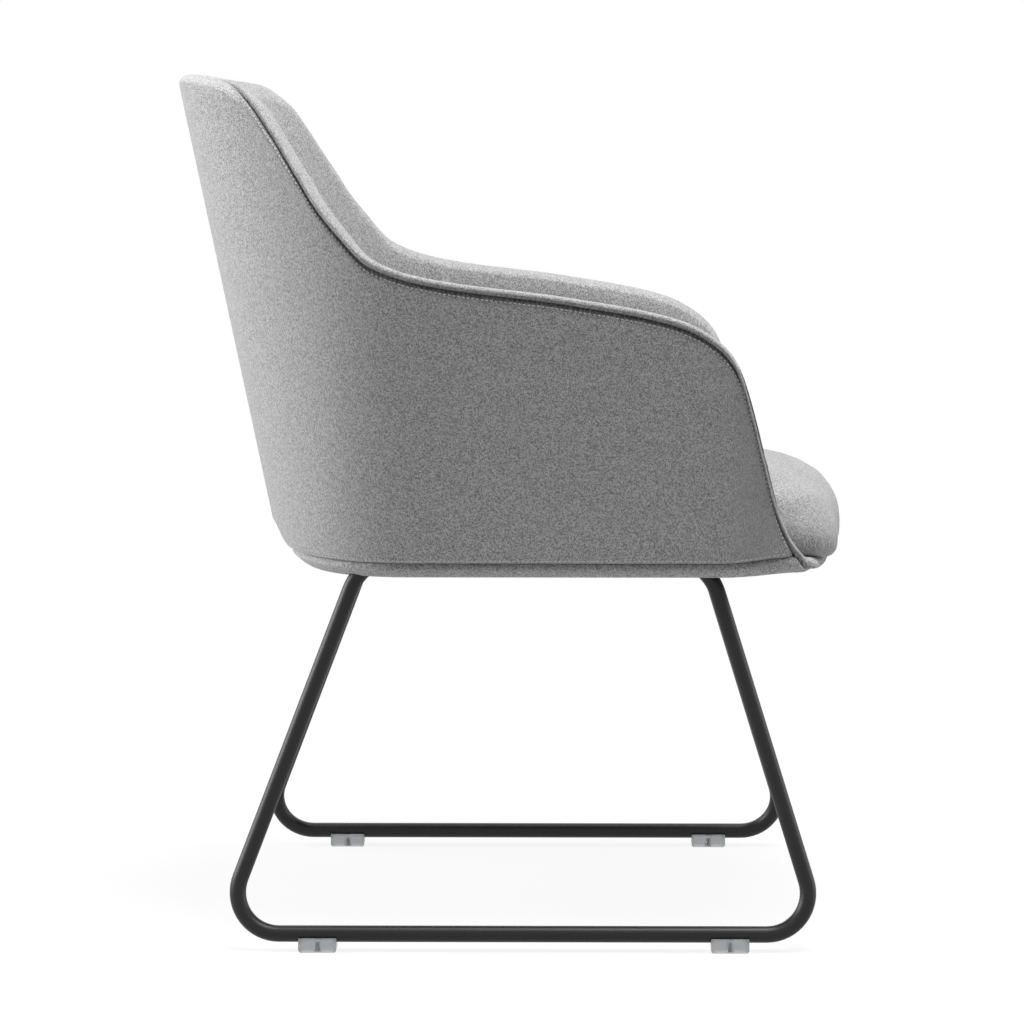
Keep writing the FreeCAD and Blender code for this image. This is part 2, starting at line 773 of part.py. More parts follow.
def rivet(name, x, y):
    """Its head fills the glide's conical hole, and its shank stands in the tube's hole."""
    head = bound("Cone", "rivet_head_" + name,
                 {"Radius1": "Sizes.rivet_head_dia / 2", "Radius2": "Sizes.rivet_dia / 2",
                  "Height": TUBE_BOTTOM + " - Sizes.rivet_sink"}, (x, y, "Sizes.rivet_sink"))
    shank = bound("Cylinder", "rivet_shank_" + name,
                  {"Radius": "Sizes.rivet_dia / 2", "Height": "Sizes.rivet_reach"},
                  (x, y, TUBE_BOTTOM))
    return joined("rivet_" + name, [head, shank])


def glide(name, x, y):
    """Block with rounded lower ends, hollowed for the tube above and the rivet below."""
    block = bound("Box", "glide_block_" + name,
                  {"Length": "Sizes.glide_width", "Width": "Sizes.glide_length",
                   "Height": "Sizes.glide_height"},
                  (x + " - Sizes.glide_width / 2", y + " - Sizes.glide_length / 2", "0"))
    doc.recompute()
    low = [index for index, edge in enumerate(block.Shape.Edges, 1)
           if edge.BoundBox.ZMax < gap and edge.BoundBox.YLength < gap]
    rounded = doc.addObject("Part::Fillet", "glide_rounded_" + name)
    rounded.Base = block
    rounded.Edges = [(index, size("glide_corner"), size("glide_corner")) for index in low]
    groove = bound("Cylinder", "glide_groove_" + name,
                   {"Radius": "Sizes.tube_dia / 2 + Sizes.fit_gap",
                    "Height": "Sizes.glide_length + 2 * Sizes.overrun"},
                   (x, y + " + Sizes.glide_length / 2 + Sizes.overrun", "Sizes.runner_height"),
                   FreeCAD.Rotation(V(1, 0, 0), 90))
    sink = bound("Cone", "glide_sink_" + name,
                 {"Radius1": "(Sizes.rivet_head_dia + Sizes.hole_gap) / 2",
                  "Radius2": "(Sizes.rivet_dia + Sizes.hole_gap) / 2",
                  "Height": TUBE_BOTTOM}, (x, y, "0"))
    return hollowed("glide_" + name, rounded, joined("glide_hollow_" + name, [groove, sink]))


for place in GLIDES:
    node(glide(*place), "glide_" + place[0])
grouped("glide_rivets", [rivet(*place) for place in GLIDES])


# Dust cover: a thin cloth under the board in three panels, clear of the bars
def dust_panel(name, start, end):
    return bound("Box", "dust_" + name,
                 {"Length": "Sizes.dust_width", "Width": end + " - (" + start + ")",
                  "Height": "Sizes.dust_thick"},
                 ("-Sizes.dust_width / 2", start, BOARD_BOTTOM + " - Sizes.dust_thick"))


DUST_MIDDLE = "(Sizes.bar_rear - Sizes.bar_front) / 2"
BAR_CLEAR = "Sizes.bar_width / 2 + Sizes.overrun"
grouped("dust_cover",
        [dust_panel("front", DUST_MIDDLE + " - Sizes.dust_length / 2",
                    "-Sizes.bar_front - (" + BAR_CLEAR + ")"),
         dust_panel("middle", "-Sizes.bar_front + " + BAR_CLEAR,
                    "Sizes.bar_rear - (" + BAR_CLEAR + ")"),
         dust_panel("rear", "Sizes.bar_rear + " + BAR_CLEAR,
                    DUST_MIDDLE + " + Sizes.dust_length / 2")])

doc.recompute()
failed = [item.Label for item in doc.Objects if {"Invalid", "Error"} & set(item.State)]
failed += [item.Label for item in nodes if item.Shape.isNull() or not item.Shape.isValid()]
if failed:
    raise RuntimeError("These objects failed: " + ", ".join(failed))
os.makedirs("parts", exist_ok=True)
for item in nodes:
    item.Shape.exportStep("parts/" + item.Label + ".step")
    print(item.Label, len(item.Shape.Solids), round(item.Shape.Volume))
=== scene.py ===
# %% [markdown]
# # A tub chair on two sled loops
# The chair is an upholstered tub: a moulded shell with foam on both faces, covered in a
# mottled grey weave, with a plump seat cushion whose nose rolls over the front. Under it stand
# two closed loops of bent steel tube, powder coated black, on clear plastic glides.
# The frame comes first. It holds the chair's true sizes, and each cloth piece made
# here takes the place of the plain solid that has its form.

import math
from collections import namedtuple

import bpy
import numpy as np
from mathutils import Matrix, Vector


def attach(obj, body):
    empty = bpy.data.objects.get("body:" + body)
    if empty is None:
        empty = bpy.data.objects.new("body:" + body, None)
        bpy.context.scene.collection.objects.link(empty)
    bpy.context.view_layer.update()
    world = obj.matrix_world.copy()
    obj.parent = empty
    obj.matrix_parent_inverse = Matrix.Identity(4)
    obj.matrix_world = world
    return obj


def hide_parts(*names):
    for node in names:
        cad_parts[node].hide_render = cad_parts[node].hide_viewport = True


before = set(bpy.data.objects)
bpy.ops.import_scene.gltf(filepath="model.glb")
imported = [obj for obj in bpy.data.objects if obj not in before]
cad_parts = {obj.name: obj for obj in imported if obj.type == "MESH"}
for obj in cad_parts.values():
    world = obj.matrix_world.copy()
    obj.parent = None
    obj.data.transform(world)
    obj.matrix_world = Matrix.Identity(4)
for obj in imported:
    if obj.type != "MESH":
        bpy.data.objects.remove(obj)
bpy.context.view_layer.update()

# %% [markdown]
# ## The camera
# The photograph looks at the chair's right side from a little above, with a long lens.
# The camera therefore stands four metres out and turns down to the middle of the chair.
# A tilted camera keeps the whole chair in view from other sides too, which a shifted lens
# would not.

# %% Camera
MM = 0.001
IMAGE_SIZE = 1024
FOCAL_PIXELS = 4215.0
CAMERA_PLACE = (-4.3, -0.0438, 0.8045)
CAMERA_PITCH_DEG = 5.412
CAMERA_TURN_DEG = 0.608

camera_data = bpy.data.cameras.new("photo_camera")
camera_data.sensor_width = 36.0
camera_data.lens = FOCAL_PIXELS / IMAGE_SIZE * camera_data.sensor_width
camera = bpy.data.objects.new("photo_camera", camera_data)
camera.location = CAMERA_PLACE
camera.rotation_euler = (math.radians(90 - CAMERA_PITCH_DEG), 0,
                         math.radians(CAMERA_TURN_DEG - 90))
bpy.context.scene.collection.objects.link(camera)
bpy.context.scene.camera = camera
bpy.context.scene.view_settings.view_transform = "Standard"
print("lens", round(camera_data.lens, 1), "mm")

# %% [markdown]
# ## Floor, backdrop and light
# The photograph is a cut-out on white. The floor and the world are white to the eye and to
# reflections only, so that they throw no extra light on the cloth. Soft lamps stand before and
# behind the chair, one hangs above it, and a weak one fills the far side. None stands by the
# camera, which is why the side of the tub is darker than its edges.

# %% One function for nodes, one for colours
def node(material, kind, inputs=None, **settings):
    """Adds a shader node, sets its properties, and fills its sockets with values or links. A
    node that is given as a value is linked from its first output."""
    made = material.node_tree.nodes.new(kind)
    for name, value in settings.items():
        setattr(made, name, value)
    for socket, value in (inputs or {}).items():
        if isinstance(value, bpy.types.Node):
            value = value.outputs[0]
        if isinstance(value, bpy.types.NodeSocket):
            material.node_tree.links.new(value, made.inputs[socket])
        else:
            made.inputs[socket].default_value = value
    return made


def hex_colour(text):
    """Linear colour from an sRGB hex value."""
    parts = [int(text[index:index + 2], 16) / 255 for index in (1, 3, 5)]
    linear = [p / 12.92 if p <= 0.04045 else ((p + 0.055) / 1.055) ** 2.4 for p in parts]
    return (*linear, 1.0)


def new_material(name):
    material = bpy.data.materials.new(name)
    material.use_nodes = True
    material.node_tree.nodes.clear()
    return material


def finish_material(material, shader):
    node(material, "ShaderNodeOutputMaterial", {"Surface": shader})
    return material


# %% White to the eye, soft to the cloth
WHITE, BLACK = (1.0, 1.0, 1.0, 1.0), (0.0, 0.0, 0.0, 1.0)
AMBIENT_LEVEL = 0.03
FLOOR_SIZE = 30.0
FLOOR_TO_LIGHT, FLOOR_TO_EYE = "#c6c6c6", "#f4f4f4"
FLOOR_WHITE_SHARE = 0.86
FLOOR_FADE = (0.7, 2.0)


def seen_directly(material):
    """1 for rays from the camera, off gloss or through plastic, and 0 for light."""
    path = node(material, "ShaderNodeLightPath").outputs
    seen = node(material, "ShaderNodeMath", {0: path["Is Camera Ray"], 1: path["Is Glossy Ray"]},
                operation="MAXIMUM")
    return node(material, "ShaderNodeMath", {0: seen, 1: path["Is Transmission Ray"]},
                operation="MAXIMUM")


world = bpy.data.worlds.new("studio")
world.use_nodes = True
world.node_tree.nodes.clear()
room = node(world, "ShaderNodeBackground", {"Color": WHITE, "Strength": AMBIENT_LEVEL})
white = node(world, "ShaderNodeBackground", {"Color": WHITE, "Strength": 1.0})
sky = node(world, "ShaderNodeMixShader", {0: seen_directly(world), 1: room, 2: white})
node(world, "ShaderNodeOutputWorld", {"Surface": sky})
bpy.context.scene.world = world

floor_paint = new_material("matt white studio floor")
floor_tone = node(floor_paint, "ShaderNodeMix",
                  {0: seen_directly(floor_paint), 6: hex_colour(FLOOR_TO_LIGHT),
                   7: hex_colour(FLOOR_TO_EYE)}, data_type="RGBA").outputs[2]
floor_matt = node(floor_paint, "ShaderNodeBsdfDiffuse", {"Color": floor_tone})
floor_white = node(floor_paint, "ShaderNodeEmission", {"Color": WHITE, "Strength": 1.0})
# close to the chair the floor takes its shadow, and further off it is plain white
from_chair = node(floor_paint, "ShaderNodeVectorMath",
                  {0: node(floor_paint, "ShaderNodeTexCoord").outputs["Object"]},
                  operation="LENGTH").outputs["Value"]
floor_white_part = node(floor_paint, "ShaderNodeMapRange",
                        {0: from_chair, 1: FLOOR_FADE[0], 2: FLOOR_FADE[1],
                         3: FLOOR_WHITE_SHARE, 4: 1.0})
floor_share = node(floor_paint, "ShaderNodeMath",
                   {0: seen_directly(floor_paint), 1: floor_white_part}, operation="MULTIPLY")
finish_material(floor_paint, node(floor_paint, "ShaderNodeMixShader",
                                  {0: floor_share, 1: floor_matt, 2: floor_white}))
bpy.ops.mesh.primitive_plane_add(size=FLOOR_SIZE, location=(0, 0, 0))
floor = bpy.context.object
floor.name = "studio_floor"
floor.data.materials.append(floor_paint)

# %% Soft lamps
# name, power in watts, width and height in metres, place, and the point it faces
LAMPS = [
    ("lamp_behind", 77.0, (1.8, 1.6), (0.0, 2.3, 1.35), (0, 0.1, 0.5)),
    ("lamp_before", 23.0, (1.6, 2.0), (0.15, -2.4, 1.1), (0, 0, 0.5)),
    ("lamp_above", 102.0, (1.1, 2.0), (-0.4, -0.4, 2.9), (0, -0.1, 0.5)),
    ("lamp_far_side", 14.0, (2.4, 1.6), (2.6, -0.2, 1.4), (0, 0, 0.5)),
]
for name, power, extent, place, target in LAMPS:
    lamp_data = bpy.data.lights.new(name, "AREA")
    lamp_data.energy = power
    lamp_data.shape = "RECTANGLE"
    lamp_data.size, lamp_data.size_y = extent
    lamp = bpy.data.objects.new(name, lamp_data)
    lamp.location = place
    lamp.rotation_euler = (Vector(target) - Vector(place)).to_track_quat("-Z", "Y").to_euler()
    bpy.context.scene.collection.objects.link(lamp)
print(len(LAMPS), "lamps")

# %% [markdown]
# ## Finishes
# The cover is a plain weave of mottled grey yarn, the kind called mélange: light and dark
# fibres are spun together, so each yarn changes tone along its length. Every crossing of two
# yarns shows one of them on top. The pattern below does the same: it finds the crossing from
# the cloth's own coordinates in metres, decides which yarn is on top, and reads that yarn's
# tone from noise drawn out along it. Such yarns lie about 0.9 mm apart, which is close to one
# pixel here, so they show as a fine mottle.

# %% Mélange weave
YARN_MM = 0.9
TONE_LENGTH_MM = 1.8
YARN_TONES = ("#727272", "#c5c5c5")
TONE_RANGE = (0.24, 0.76)
# how far apart the noise of two yarns is read, and where it starts, for warp and weft
YARN_SPREAD, YARN_SEED = (7.31, 5.73), (3.7, 61.3)
FLECK_IN_TONE, FLECK_IN_HEIGHT = 0.5, 0.4
GATHER_PITCH_MM, GATHER_SWAY, SWAY_SCALE = 4.7, 5.0, 60.0
# how far the creases lift the bump, and how much more painted shade lies in them
CREASE_HEIGHT, CREASE_SHADE = 0.9, 0.16


def weave(name, gather_mm=0.0, gather_shade=0.0):
    """Woven cover with its yarns along the piece's own UV map, which is in metres. A gathered
    one is drawn into small creases along the edge where its map starts, and its colour there
    is darkened as painted shade, most of all in the creases."""
    cloth = new_material(name)
    place = node(cloth, "ShaderNodeTexCoord").outputs["UV"]
    across, along, _ = node(cloth, "ShaderNodeSeparateXYZ", {0: place}).outputs
    warp, weft = [node(cloth, "ShaderNodeMath", {0: run, 1: 1 / (YARN_MM * MM)},
                       operation="MULTIPLY") for run in (across, along)]
    warp_cell, weft_cell = [node(cloth, "ShaderNodeMath", {0: run}, operation="FLOOR")
                            for run in (warp, weft)]
    cells = node(cloth, "ShaderNodeMath", {0: warp_cell, 1: weft_cell}, operation="ADD")
    on_top = node(cloth, "ShaderNodeMath", {0: cells, 1: 2.0}, operation="FLOORED_MODULO")

    # yarn numbers are spread out so that neighbours read unrelated noise
    tones = []
    for cell, run, spread, seed in zip((warp_cell, weft_cell), (weft, warp), YARN_SPREAD,
                                       YARN_SEED):
        number = node(cloth, "ShaderNodeMath", {0: cell, 1: spread}, operation="MULTIPLY")
        length = node(cloth, "ShaderNodeMath", {0: run, 1: YARN_MM / TONE_LENGTH_MM},
                      operation="MULTIPLY")
        spot = node(cloth, "ShaderNodeCombineXYZ", {0: number, 1: length, 2: seed})
        tones.append(node(cloth, "ShaderNodeTexNoise", {"Vector": spot, "Scale": 1.0,
                                                        "Detail": 2.0, "Roughness": 0.6}))
    yarn = node(cloth, "ShaderNodeMix", {0: on_top, 2: tones[0], 3: tones[1]})
    crossing = node(cloth, "ShaderNodeCombineXYZ", {0: warp_cell, 1: weft_cell})
    fleck = node(cloth, "ShaderNodeTexWhiteNoise", {"Vector": crossing}, noise_dimensions="2D")
    tone = node(cloth, "ShaderNodeMix", {0: FLECK_IN_TONE, 2: yarn, 3: fleck})
    colour = node(cloth, "ShaderNodeValToRGB", {0: tone})
    for end in (0, 1):
        colour.color_ramp.elements[end].position = TONE_RANGE[end]
        colour.color_ramp.elements[end].color = hex_colour(YARN_TONES[end])
    tint = colour.outputs[0]

    # each crossing is a small pillow, with a step down to the next
    ridges = []
    for run in (warp, weft):
        turn = node(cloth, "ShaderNodeMath", {0: run, 1: math.pi}, operation="MULTIPLY")
        wave = node(cloth, "ShaderNodeMath", {0: turn}, operation="SINE")
        ridges.append(node(cloth, "ShaderNodeMath", {0: wave}, operation="ABSOLUTE"))
    pillow = node(cloth, "ShaderNodeMath", dict(enumerate(ridges)), operation="MULTIPLY")
    height = node(cloth, "ShaderNodeMix", {0: FLECK_IN_HEIGHT, 2: pillow, 3: fleck})
    # a gathered edge: creases in the bump, and painted shade that darkens the colour near the
    # edge and in the creases
    if gather_mm:
        near = node(cloth, "ShaderNodeMapRange",
                    {0: along, 1: 0.0, 2: gather_mm * MM, 3: 1.0, 4: 0.0},
                    interpolation_type="SMOOTHSTEP")
        sway = node(cloth, "ShaderNodeTexNoise", {"Vector": place, "Scale": SWAY_SCALE})
        even = node(cloth, "ShaderNodeMath",
                    {0: across, 1: 2 * math.pi / (GATHER_PITCH_MM * MM)}, operation="MULTIPLY")
        turn = node(cloth, "ShaderNodeMath", {0: sway, 1: GATHER_SWAY, 2: even},
                    operation="MULTIPLY_ADD")
        wave = node(cloth, "ShaderNodeMath", {0: turn}, operation="SINE")
        crease = node(cloth, "ShaderNodeMath", {0: wave, 1: near}, operation="MULTIPLY")
        height = node(cloth, "ShaderNodeMath", {0: crease, 1: CREASE_HEIGHT, 2: height},
                      operation="MULTIPLY_ADD")
        # depth of the painted shade: a base amount, deeper in the creases and paler on their
        # ridges
        dark = node(cloth, "ShaderNodeMath", {0: crease, 1: CREASE_SHADE, 2: gather_shade},
                    operation="MULTIPLY_ADD")
        shade = node(cloth, "ShaderNodeMath", {0: near, 1: dark}, operation="MULTIPLY")
        tint = node(cloth, "ShaderNodeMix", {0: shade, 6: tint, 7: BLACK},
                    data_type="RGBA").outputs[2]
    bump = node(cloth, "ShaderNodeBump", {"Height": height, "Strength": 0.55,
                                          "Distance": 0.5 * MM})
    return finish_material(cloth, node(cloth, "ShaderNodeBsdfPrincipled", {
        "Base Color": tint, "Roughness": 0.92, "Normal": bump, "Specular IOR Level": 0.2,
        "Sheen Weight": 0.2, "Sheen Roughness": 0.4}))


grey_weave = weave("grey melange plain weave")
# these two weaves lay painted shade on the cloth next to the seam where their map starts
gathered_painted_shade_weave = weave("grey melange plain weave, gathered at its seam", 12.0, 0.4)
rolled_painted_shade_weave = weave("grey melange plain weave, rolled to its seam", 11.0, 0.42)
print("3 weaves,", YARN_MM, "mm between yarns")

# %% [markdown]
# ## The hard finishes
# The parts under the cover are powder coated, zinc plated, lacquered or moulded. Each is one
# plain colour with a fine grain, which keeps a smooth surface from looking like a drawing.

# %% Plain finishes
ROUGH_SPREAD = 0.12


def surface(name, colour, roughness, metallic=0.0, grain_mm=1.0, grain=0.1, contrast=0.0,
            **sockets):
    """A plain finish with fine grain in its colour, roughness and relief."""
    material = new_material(name)
    place = node(material, "ShaderNodeTexCoord").outputs["Object"]
    noise = node(material, "ShaderNodeTexNoise",
                 {"Vector": place, "Scale": 1 / (grain_mm * MM), "Detail": 3.0})
    paler = node(material, "ShaderNodeMath", {0: noise, 1: contrast}, operation="MULTIPLY")
    tint = node(material, "ShaderNodeMix", {0: paler, 6: hex_colour(colour), 7: WHITE},
                data_type="RGBA").outputs[2]
    rough = node(material, "ShaderNodeMath",
                 {0: noise, 1: ROUGH_SPREAD, 2: roughness - ROUGH_SPREAD / 2},
                 operation="MULTIPLY_ADD")
    bump = node(material, "ShaderNodeBump", {"Height": noise, "Strength": grain,
                                             "Distance": 0.1 * MM})
    return finish_material(material, node(material, "ShaderNodeBsdfPrincipled", {
        "Base Color": tint, "Roughness": rough, "Metallic": metallic, "Normal": bump,
        **sockets}))


# Polyester powder, sprayed and baked: fine orange peel under a low satin gloss.
powder_coat = surface("black polyester powder coat", "#0e0e0e", 0.4, grain_mm=0.6,
                      grain=0.35, contrast=0.01, **{"Specular IOR Level": 0.3})
# Zinc plate, bright and a little uneven from the bath.
zinc_plate = surface("zinc plated steel", "#b9bcbf", 0.34, metallic=1.0, grain_mm=0.4)
# Peeled birch veneers pressed with a clear lacquer.
birch_ply = surface("lacquered birch plywood", "#c9a877", 0.5, grain_mm=3.0, contrast=0.15)
# Spun-bonded polypropylene, the black cloth under a seat.
dust_cloth = surface("black spun-bonded cloth", "#232324", 0.9, grain_mm=0.7, grain=0.5,
                     contrast=0.08)
# Clear moulded polycarbonate, slightly grey, glossy from the mould.
clear_plastic = surface("clear moulded polycarbonate", "#b4b7b9", 0.3, grain_mm=2.0,
                        grain=0.05, IOR=1.585, **{"Transmission Weight": 0.7})
# Spun polyester sewing thread, a shade lighter than the cloth.
thread = surface("light grey polyester thread", "#cfcfcf", 0.7, grain_mm=0.3, grain=0.3)

CARRIED_OVER = {
    powder_coat: ["sled_loop_right", "sled_loop_left", "cross_bar_rear", "cross_bar_front"],
    zinc_plate: ["mount_screws", "mount_washers", "board_nuts", "edge_screws",
                 "glide_rivets"],
    birch_ply: ["shell_core", "seat_board", "front_rail"],
    dust_cloth: ["dust_cover"],
    clear_plastic: ["glide_rear_right", "glide_front_right", "glide_rear_left",
                    "glide_front_left"],
}
for material, names in CARRIED_OVER.items():
    for name in names:
        cad_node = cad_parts[name]
        cad_node.data.materials.clear()
        cad_node.data.materials.append(material)
print(len(CARRIED_OVER), "finishes on", sum(map(len, CARRIED_OVER.values())), "kept nodes")

# %% [markdown]
# ## The tub's shape
# The tub has no straight outline to copy, so it is described as upright sections. Each section
# leans out a little, is thin along the arms and thick in the back, and ends in a rounded
# rim. The rim's height follows one smooth curve from the toe of one arm, over the back, to
# the other toe. The tub's lower edge then goes on round the front as a low lip under the
# cushion's nose. Most of the sizes below are those that the solids were drawn from, with
# smooth curves between them. The rim's crest, its drops and its front end are soft, and were
# fitted to the photograph here.

# %% Sizes of the tub, in millimetres
BASE, ARM_TOP, BACK_TOP = 355.6, 648.0, 843.0
HALF_BASE, HALF_ARM, HALF_BACK = 250.0, 286.0, 278.0
BASE_BACK, LEAN_DEG, TURN_START, ARM_FRONT = 236.5, 11.9, 90.0, 279.0
# wall, rim and foot: along the arms, in the middle of the back, in the middle of the lip
WALL = (33.0, 57.0, 20.0)
RIM_DROP = (4.5, 13.0, 8.0)
INNER_DROP = (7.0, 32.0, 8.0)
CREST_INSET = (13.0, 12.0, 10.0)
TUCK = (18.0, 80.0, 5.0)
TUCK_HEIGHT = (30.0, 64.0, 30.0)
FOOT_POWER = (2.0, 1.75, 2.0)
# the cover's flap under the foot: along the sides, and round the toes and the lip
FLAP = (14.0, 30.0)
PLAN_POWER = 2.5
BOARD_TOP = 398.6
INNER_BASE, LIP_INNER_BASE = BOARD_TOP + 4, 364.0
SEAT_HEIGHT, NOSE_FRONT, NOSE_BOTTOM = 450.0, 342.5, 371.0

# The underside and its seam rise towards the toes, and the seam rises a little behind.
TOE_START, TOE_END = 205.0, 280.0
TOE_LIFT, TOE_SEAM_RISE, BACK_SEAM_RISE = 4.5, 8.0, 5.0
SEAM_HEIGHT = 369.0

# The rim's curve: distance behind the middle of the chair, and height.
ARM_RUN, ARM_RISE = TURN_START + ARM_FRONT, ARM_TOP - BASE
BACK_LEAN = math.tan(math.radians(LEAN_DEG))
BACK_RUN = BASE_BACK - TURN_START + BACK_LEAN * (BACK_TOP - BASE) - WALL[1] / 2
ARM_SHARES = [(-0.049, 0.056), (-0.022, 0.0612), (0.0, 0.0766), (0.019, 0.113),
              (0.030, 0.136), (0.043, 0.176), (0.067, 0.27), (0.10, 0.44),
              (0.13, 0.586), (0.165, 0.71), (0.212, 0.782), (0.32, 0.857), (0.60, 0.928),
              (1.0, 1.0)]
BACK_SHARES = [(0.195, 0.0855), (0.335, 0.258), (0.424, 0.388), (0.484, 0.497),
               (0.542, 0.595), (0.624, 0.736), (0.711, 0.866), (0.805, 0.938),
               (0.917, 0.978), (1.0, 1.0)]
rim_along = [-ARM_FRONT + share * ARM_RUN for share, _ in ARM_SHARES]
rim_along += [TURN_START + share * BACK_RUN for share, _ in BACK_SHARES]
rim_level = [BASE + rise * ARM_RISE for _, rise in ARM_SHARES]
rim_level += [ARM_TOP + rise * (BACK_TOP - ARM_TOP) for _, rise in BACK_SHARES]
print("rim from", round(rim_level[0]), "to", round(rim_level[-1]), "mm high")


# %% Smooth curves and fades
def smooth_curve(xs, ys):
    """Cubic through the points that never swings past them."""
    xs, ys = np.array(xs, float), np.array(ys, float)
    steps, slopes = np.diff(xs), np.diff(ys) / np.diff(xs)
    bends = np.zeros(len(xs))
    bends[0], bends[-1] = slopes[0], slopes[-1]
    for i in range(1, len(xs) - 1):
        if slopes[i - 1] * slopes[i] > 0:
            a = 2 * steps[i] + steps[i - 1]
            b = steps[i] + 2 * steps[i - 1]
            bends[i] = (a + b) / (a / slopes[i - 1] + b / slopes[i])

    def read(x):
        x = np.clip(x, xs[0], xs[-1])
        i = np.clip(np.searchsorted(xs, x, side="right") - 1, 0, len(xs) - 2)
        h = steps[i]
        t = (x - xs[i]) / h
        return ((1 + 2 * t) * (1 - t) ** 2 * ys[i] + t * (1 - t) ** 2 * h * bends[i]
                + t * t * (3 - 2 * t) * ys[i + 1] + t * t * (t - 1) * h * bends[i + 1])

    return read


def cumulative(points):
    """How far along a line each of its points is."""
    return np.concatenate([[0], np.cumsum(np.linalg.norm(np.diff(points, axis=0), axis=-1))])


def fade(value, start, end):
    """0 before the start and 1 after the end, with a soft step between."""
    t = np.clip((value - start) / (end - start), 0, 1)
    return t * t * (3 - 2 * t)


rim_height_at = smooth_curve(rim_along, rim_level)
# Where the rim seam runs, by the rim's height: millimetres up from the outer shoulder.
seam_place_at = smooth_curve([360, 372, 385, 410, 690, 730, 779, 812, 825, 833, 838, 843],
                             [-8.0, -8.0, -4.0, -2.0, -2.0, 1.0, 7.5, 10.5, 17.0, 26.0,
                              34.0, 44.0])


# %% Upright sections of the wall
def half_width(level):
    rise = np.clip((level - BASE) / (ARM_TOP - BASE), 0, 1)
    top = np.clip((level - ARM_TOP) / (BACK_TOP - ARM_TOP), 0, 1)
    return HALF_BASE + rise * (HALF_ARM - HALF_BASE) + top * (HALF_BACK - HALF_ARM)


def back_depth(level):
    return BASE_BACK - TURN_START + BACK_LEAN * (level - BASE)


def plan_reach(angle, half, depth):
    """Reach of the rounded plan at an angle, and how squarely the wall faces there."""
    across, behind = abs(math.cos(angle)) / half, abs(math.sin(angle)) / depth
    reach = (across ** PLAN_POWER + behind ** PLAN_POWER) ** (-1 / PLAN_POWER)
    normal = ((across * reach) ** (PLAN_POWER - 1) / half,
              (behind * reach) ** (PLAN_POWER - 1) / depth)
    square = normal[0] * abs(math.cos(angle)) + normal[1] * abs(math.sin(angle))
    return reach, square / math.hypot(*normal)


Skin = namedtuple("Skin", "reaches levels lengths rim_end rim_seam low_seam shoulder")
# how many points go up the inner face, over the rim, down the outside and round the foot
INNER_POINTS, RIM_POINTS, OUTER_POINTS, FOOT_POINTS = 30, 49, 40, 25
MOST_DROP_SHARE = 0.6


class Section:
    """One upright section: where it stands, which way it faces, and its profile."""

    def __init__(self, origin, facing, reaches, height, around=0.0, front=0.0, square=1.0):
        def blend(sizes):
            return sizes[0] + around * (sizes[1] - sizes[0]) + front * (sizes[2] - sizes[0])

        self.origin, self.facing = np.array([*origin, 0.0]), np.array([*facing, 0.0])
        self.base_reach, self.height = reaches[0], height
        self.slant = (reaches[1] - reaches[0]) / (height - BASE)
        self.spread = math.sqrt(1 + self.slant ** 2) / square
        self.thick, self.edge, self.tuck = blend(WALL), blend(RIM_DROP), blend(TUCK)
        self.inner_edge, self.crest_inset = blend(INNER_DROP), blend(CREST_INSET)
        toe = float(fade(-origin[1], TOE_START, TOE_END)) if around == 0 else 0.0
        self.base = BASE + TOE_LIFT * toe
        self.tuck_height = min(blend(TUCK_HEIGHT), (height - self.base) / 3)
        self.foot_power = blend(FOOT_POWER)
        self.flap = FLAP[0] + (FLAP[1] - FLAP[0]) * toe
        self.inner_base = INNER_BASE + (LIP_INNER_BASE - INNER_BASE) * toe
        self.seam_level = SEAM_HEIGHT + TOE_SEAM_RISE * toe + BACK_SEAM_RISE * around
        self.bend_level = self.base + self.tuck_height
        self.set_shoulder(1.0)

    def set_shoulder(self, steep):
        most = MOST_DROP_SHARE * (self.height - self.base)
        self.shoulder = self.height - min(self.edge * steep, most)
        self.inner_shoulder = self.height - min(self.inner_edge * steep, most)

    def reach(self, inset, level):
        return self.base_reach + self.slant * (level - BASE) - inset * self.spread

    def point(self, reach, level):
        return self.origin + self.facing * reach + np.array([0, 0, level])

    def at(self, inset, level):
        return self.point(self.reach(inset, level), level)

    def crest(self):
        return self.at(self.crest_inset, self.height)

    def skin(self):
        """The outer skin as reaches, levels and lengths: up the inner face, over the rim,
        down the outside and under the foot. With them go the places of the rim's inner edge,
        the rim seam, the skirt seam and the shoulder."""
        foot = min(self.inner_base, self.inner_shoulder - 1)
        inner = np.linspace(foot, self.inner_shoulder, INNER_POINTS)
        turn = np.linspace(math.pi, 0, RIM_POINTS)
        wide = np.where(turn > math.pi / 2, self.thick - self.crest_inset, self.crest_inset)
        deep = self.height - np.where(turn > math.pi / 2, self.inner_shoulder, self.shoulder)
        brow = (self.crest_inset - wide * np.cos(turn),
                self.height - deep * (1 - np.sin(turn)))
        outer = np.linspace(self.shoulder, self.bend_level, OUTER_POINTS)[1:]
        quarter = np.linspace(0, math.pi / 2, FOOT_POINTS)[1:]
        sharp = 2 / self.foot_power
        inward = self.tuck * (1 - np.cos(quarter) ** sharp)
        down = self.bend_level - self.tuck_height * np.sin(quarter) ** sharp
        under = inward[-1] + self.flap * np.array([0.3, 0.6, 1.0])
        start = self.reach(0, self.bend_level)
        reaches = np.concatenate([self.reach(self.thick, inner)[:-1], self.reach(*brow),
                                  self.reach(0, outer), start - inward, start - under])
        levels = np.concatenate([inner[:-1], brow[1], outer, down, [down[-1]] * len(under)])
        lengths = cumulative(np.stack([reaches, levels], axis=1))
        shoulder = INNER_POINTS + RIM_POINTS - 2
        rim_seam = lengths[shoulder] - float(seam_place_at(self.height))
        low_seam = np.interp(-self.seam_level, -levels[shoulder:], lengths[shoulder:])
        return Skin(reaches, levels, lengths, lengths[INNER_POINTS - 1], rim_seam,
                    max(low_seam, rim_seam), lengths[shoulder])


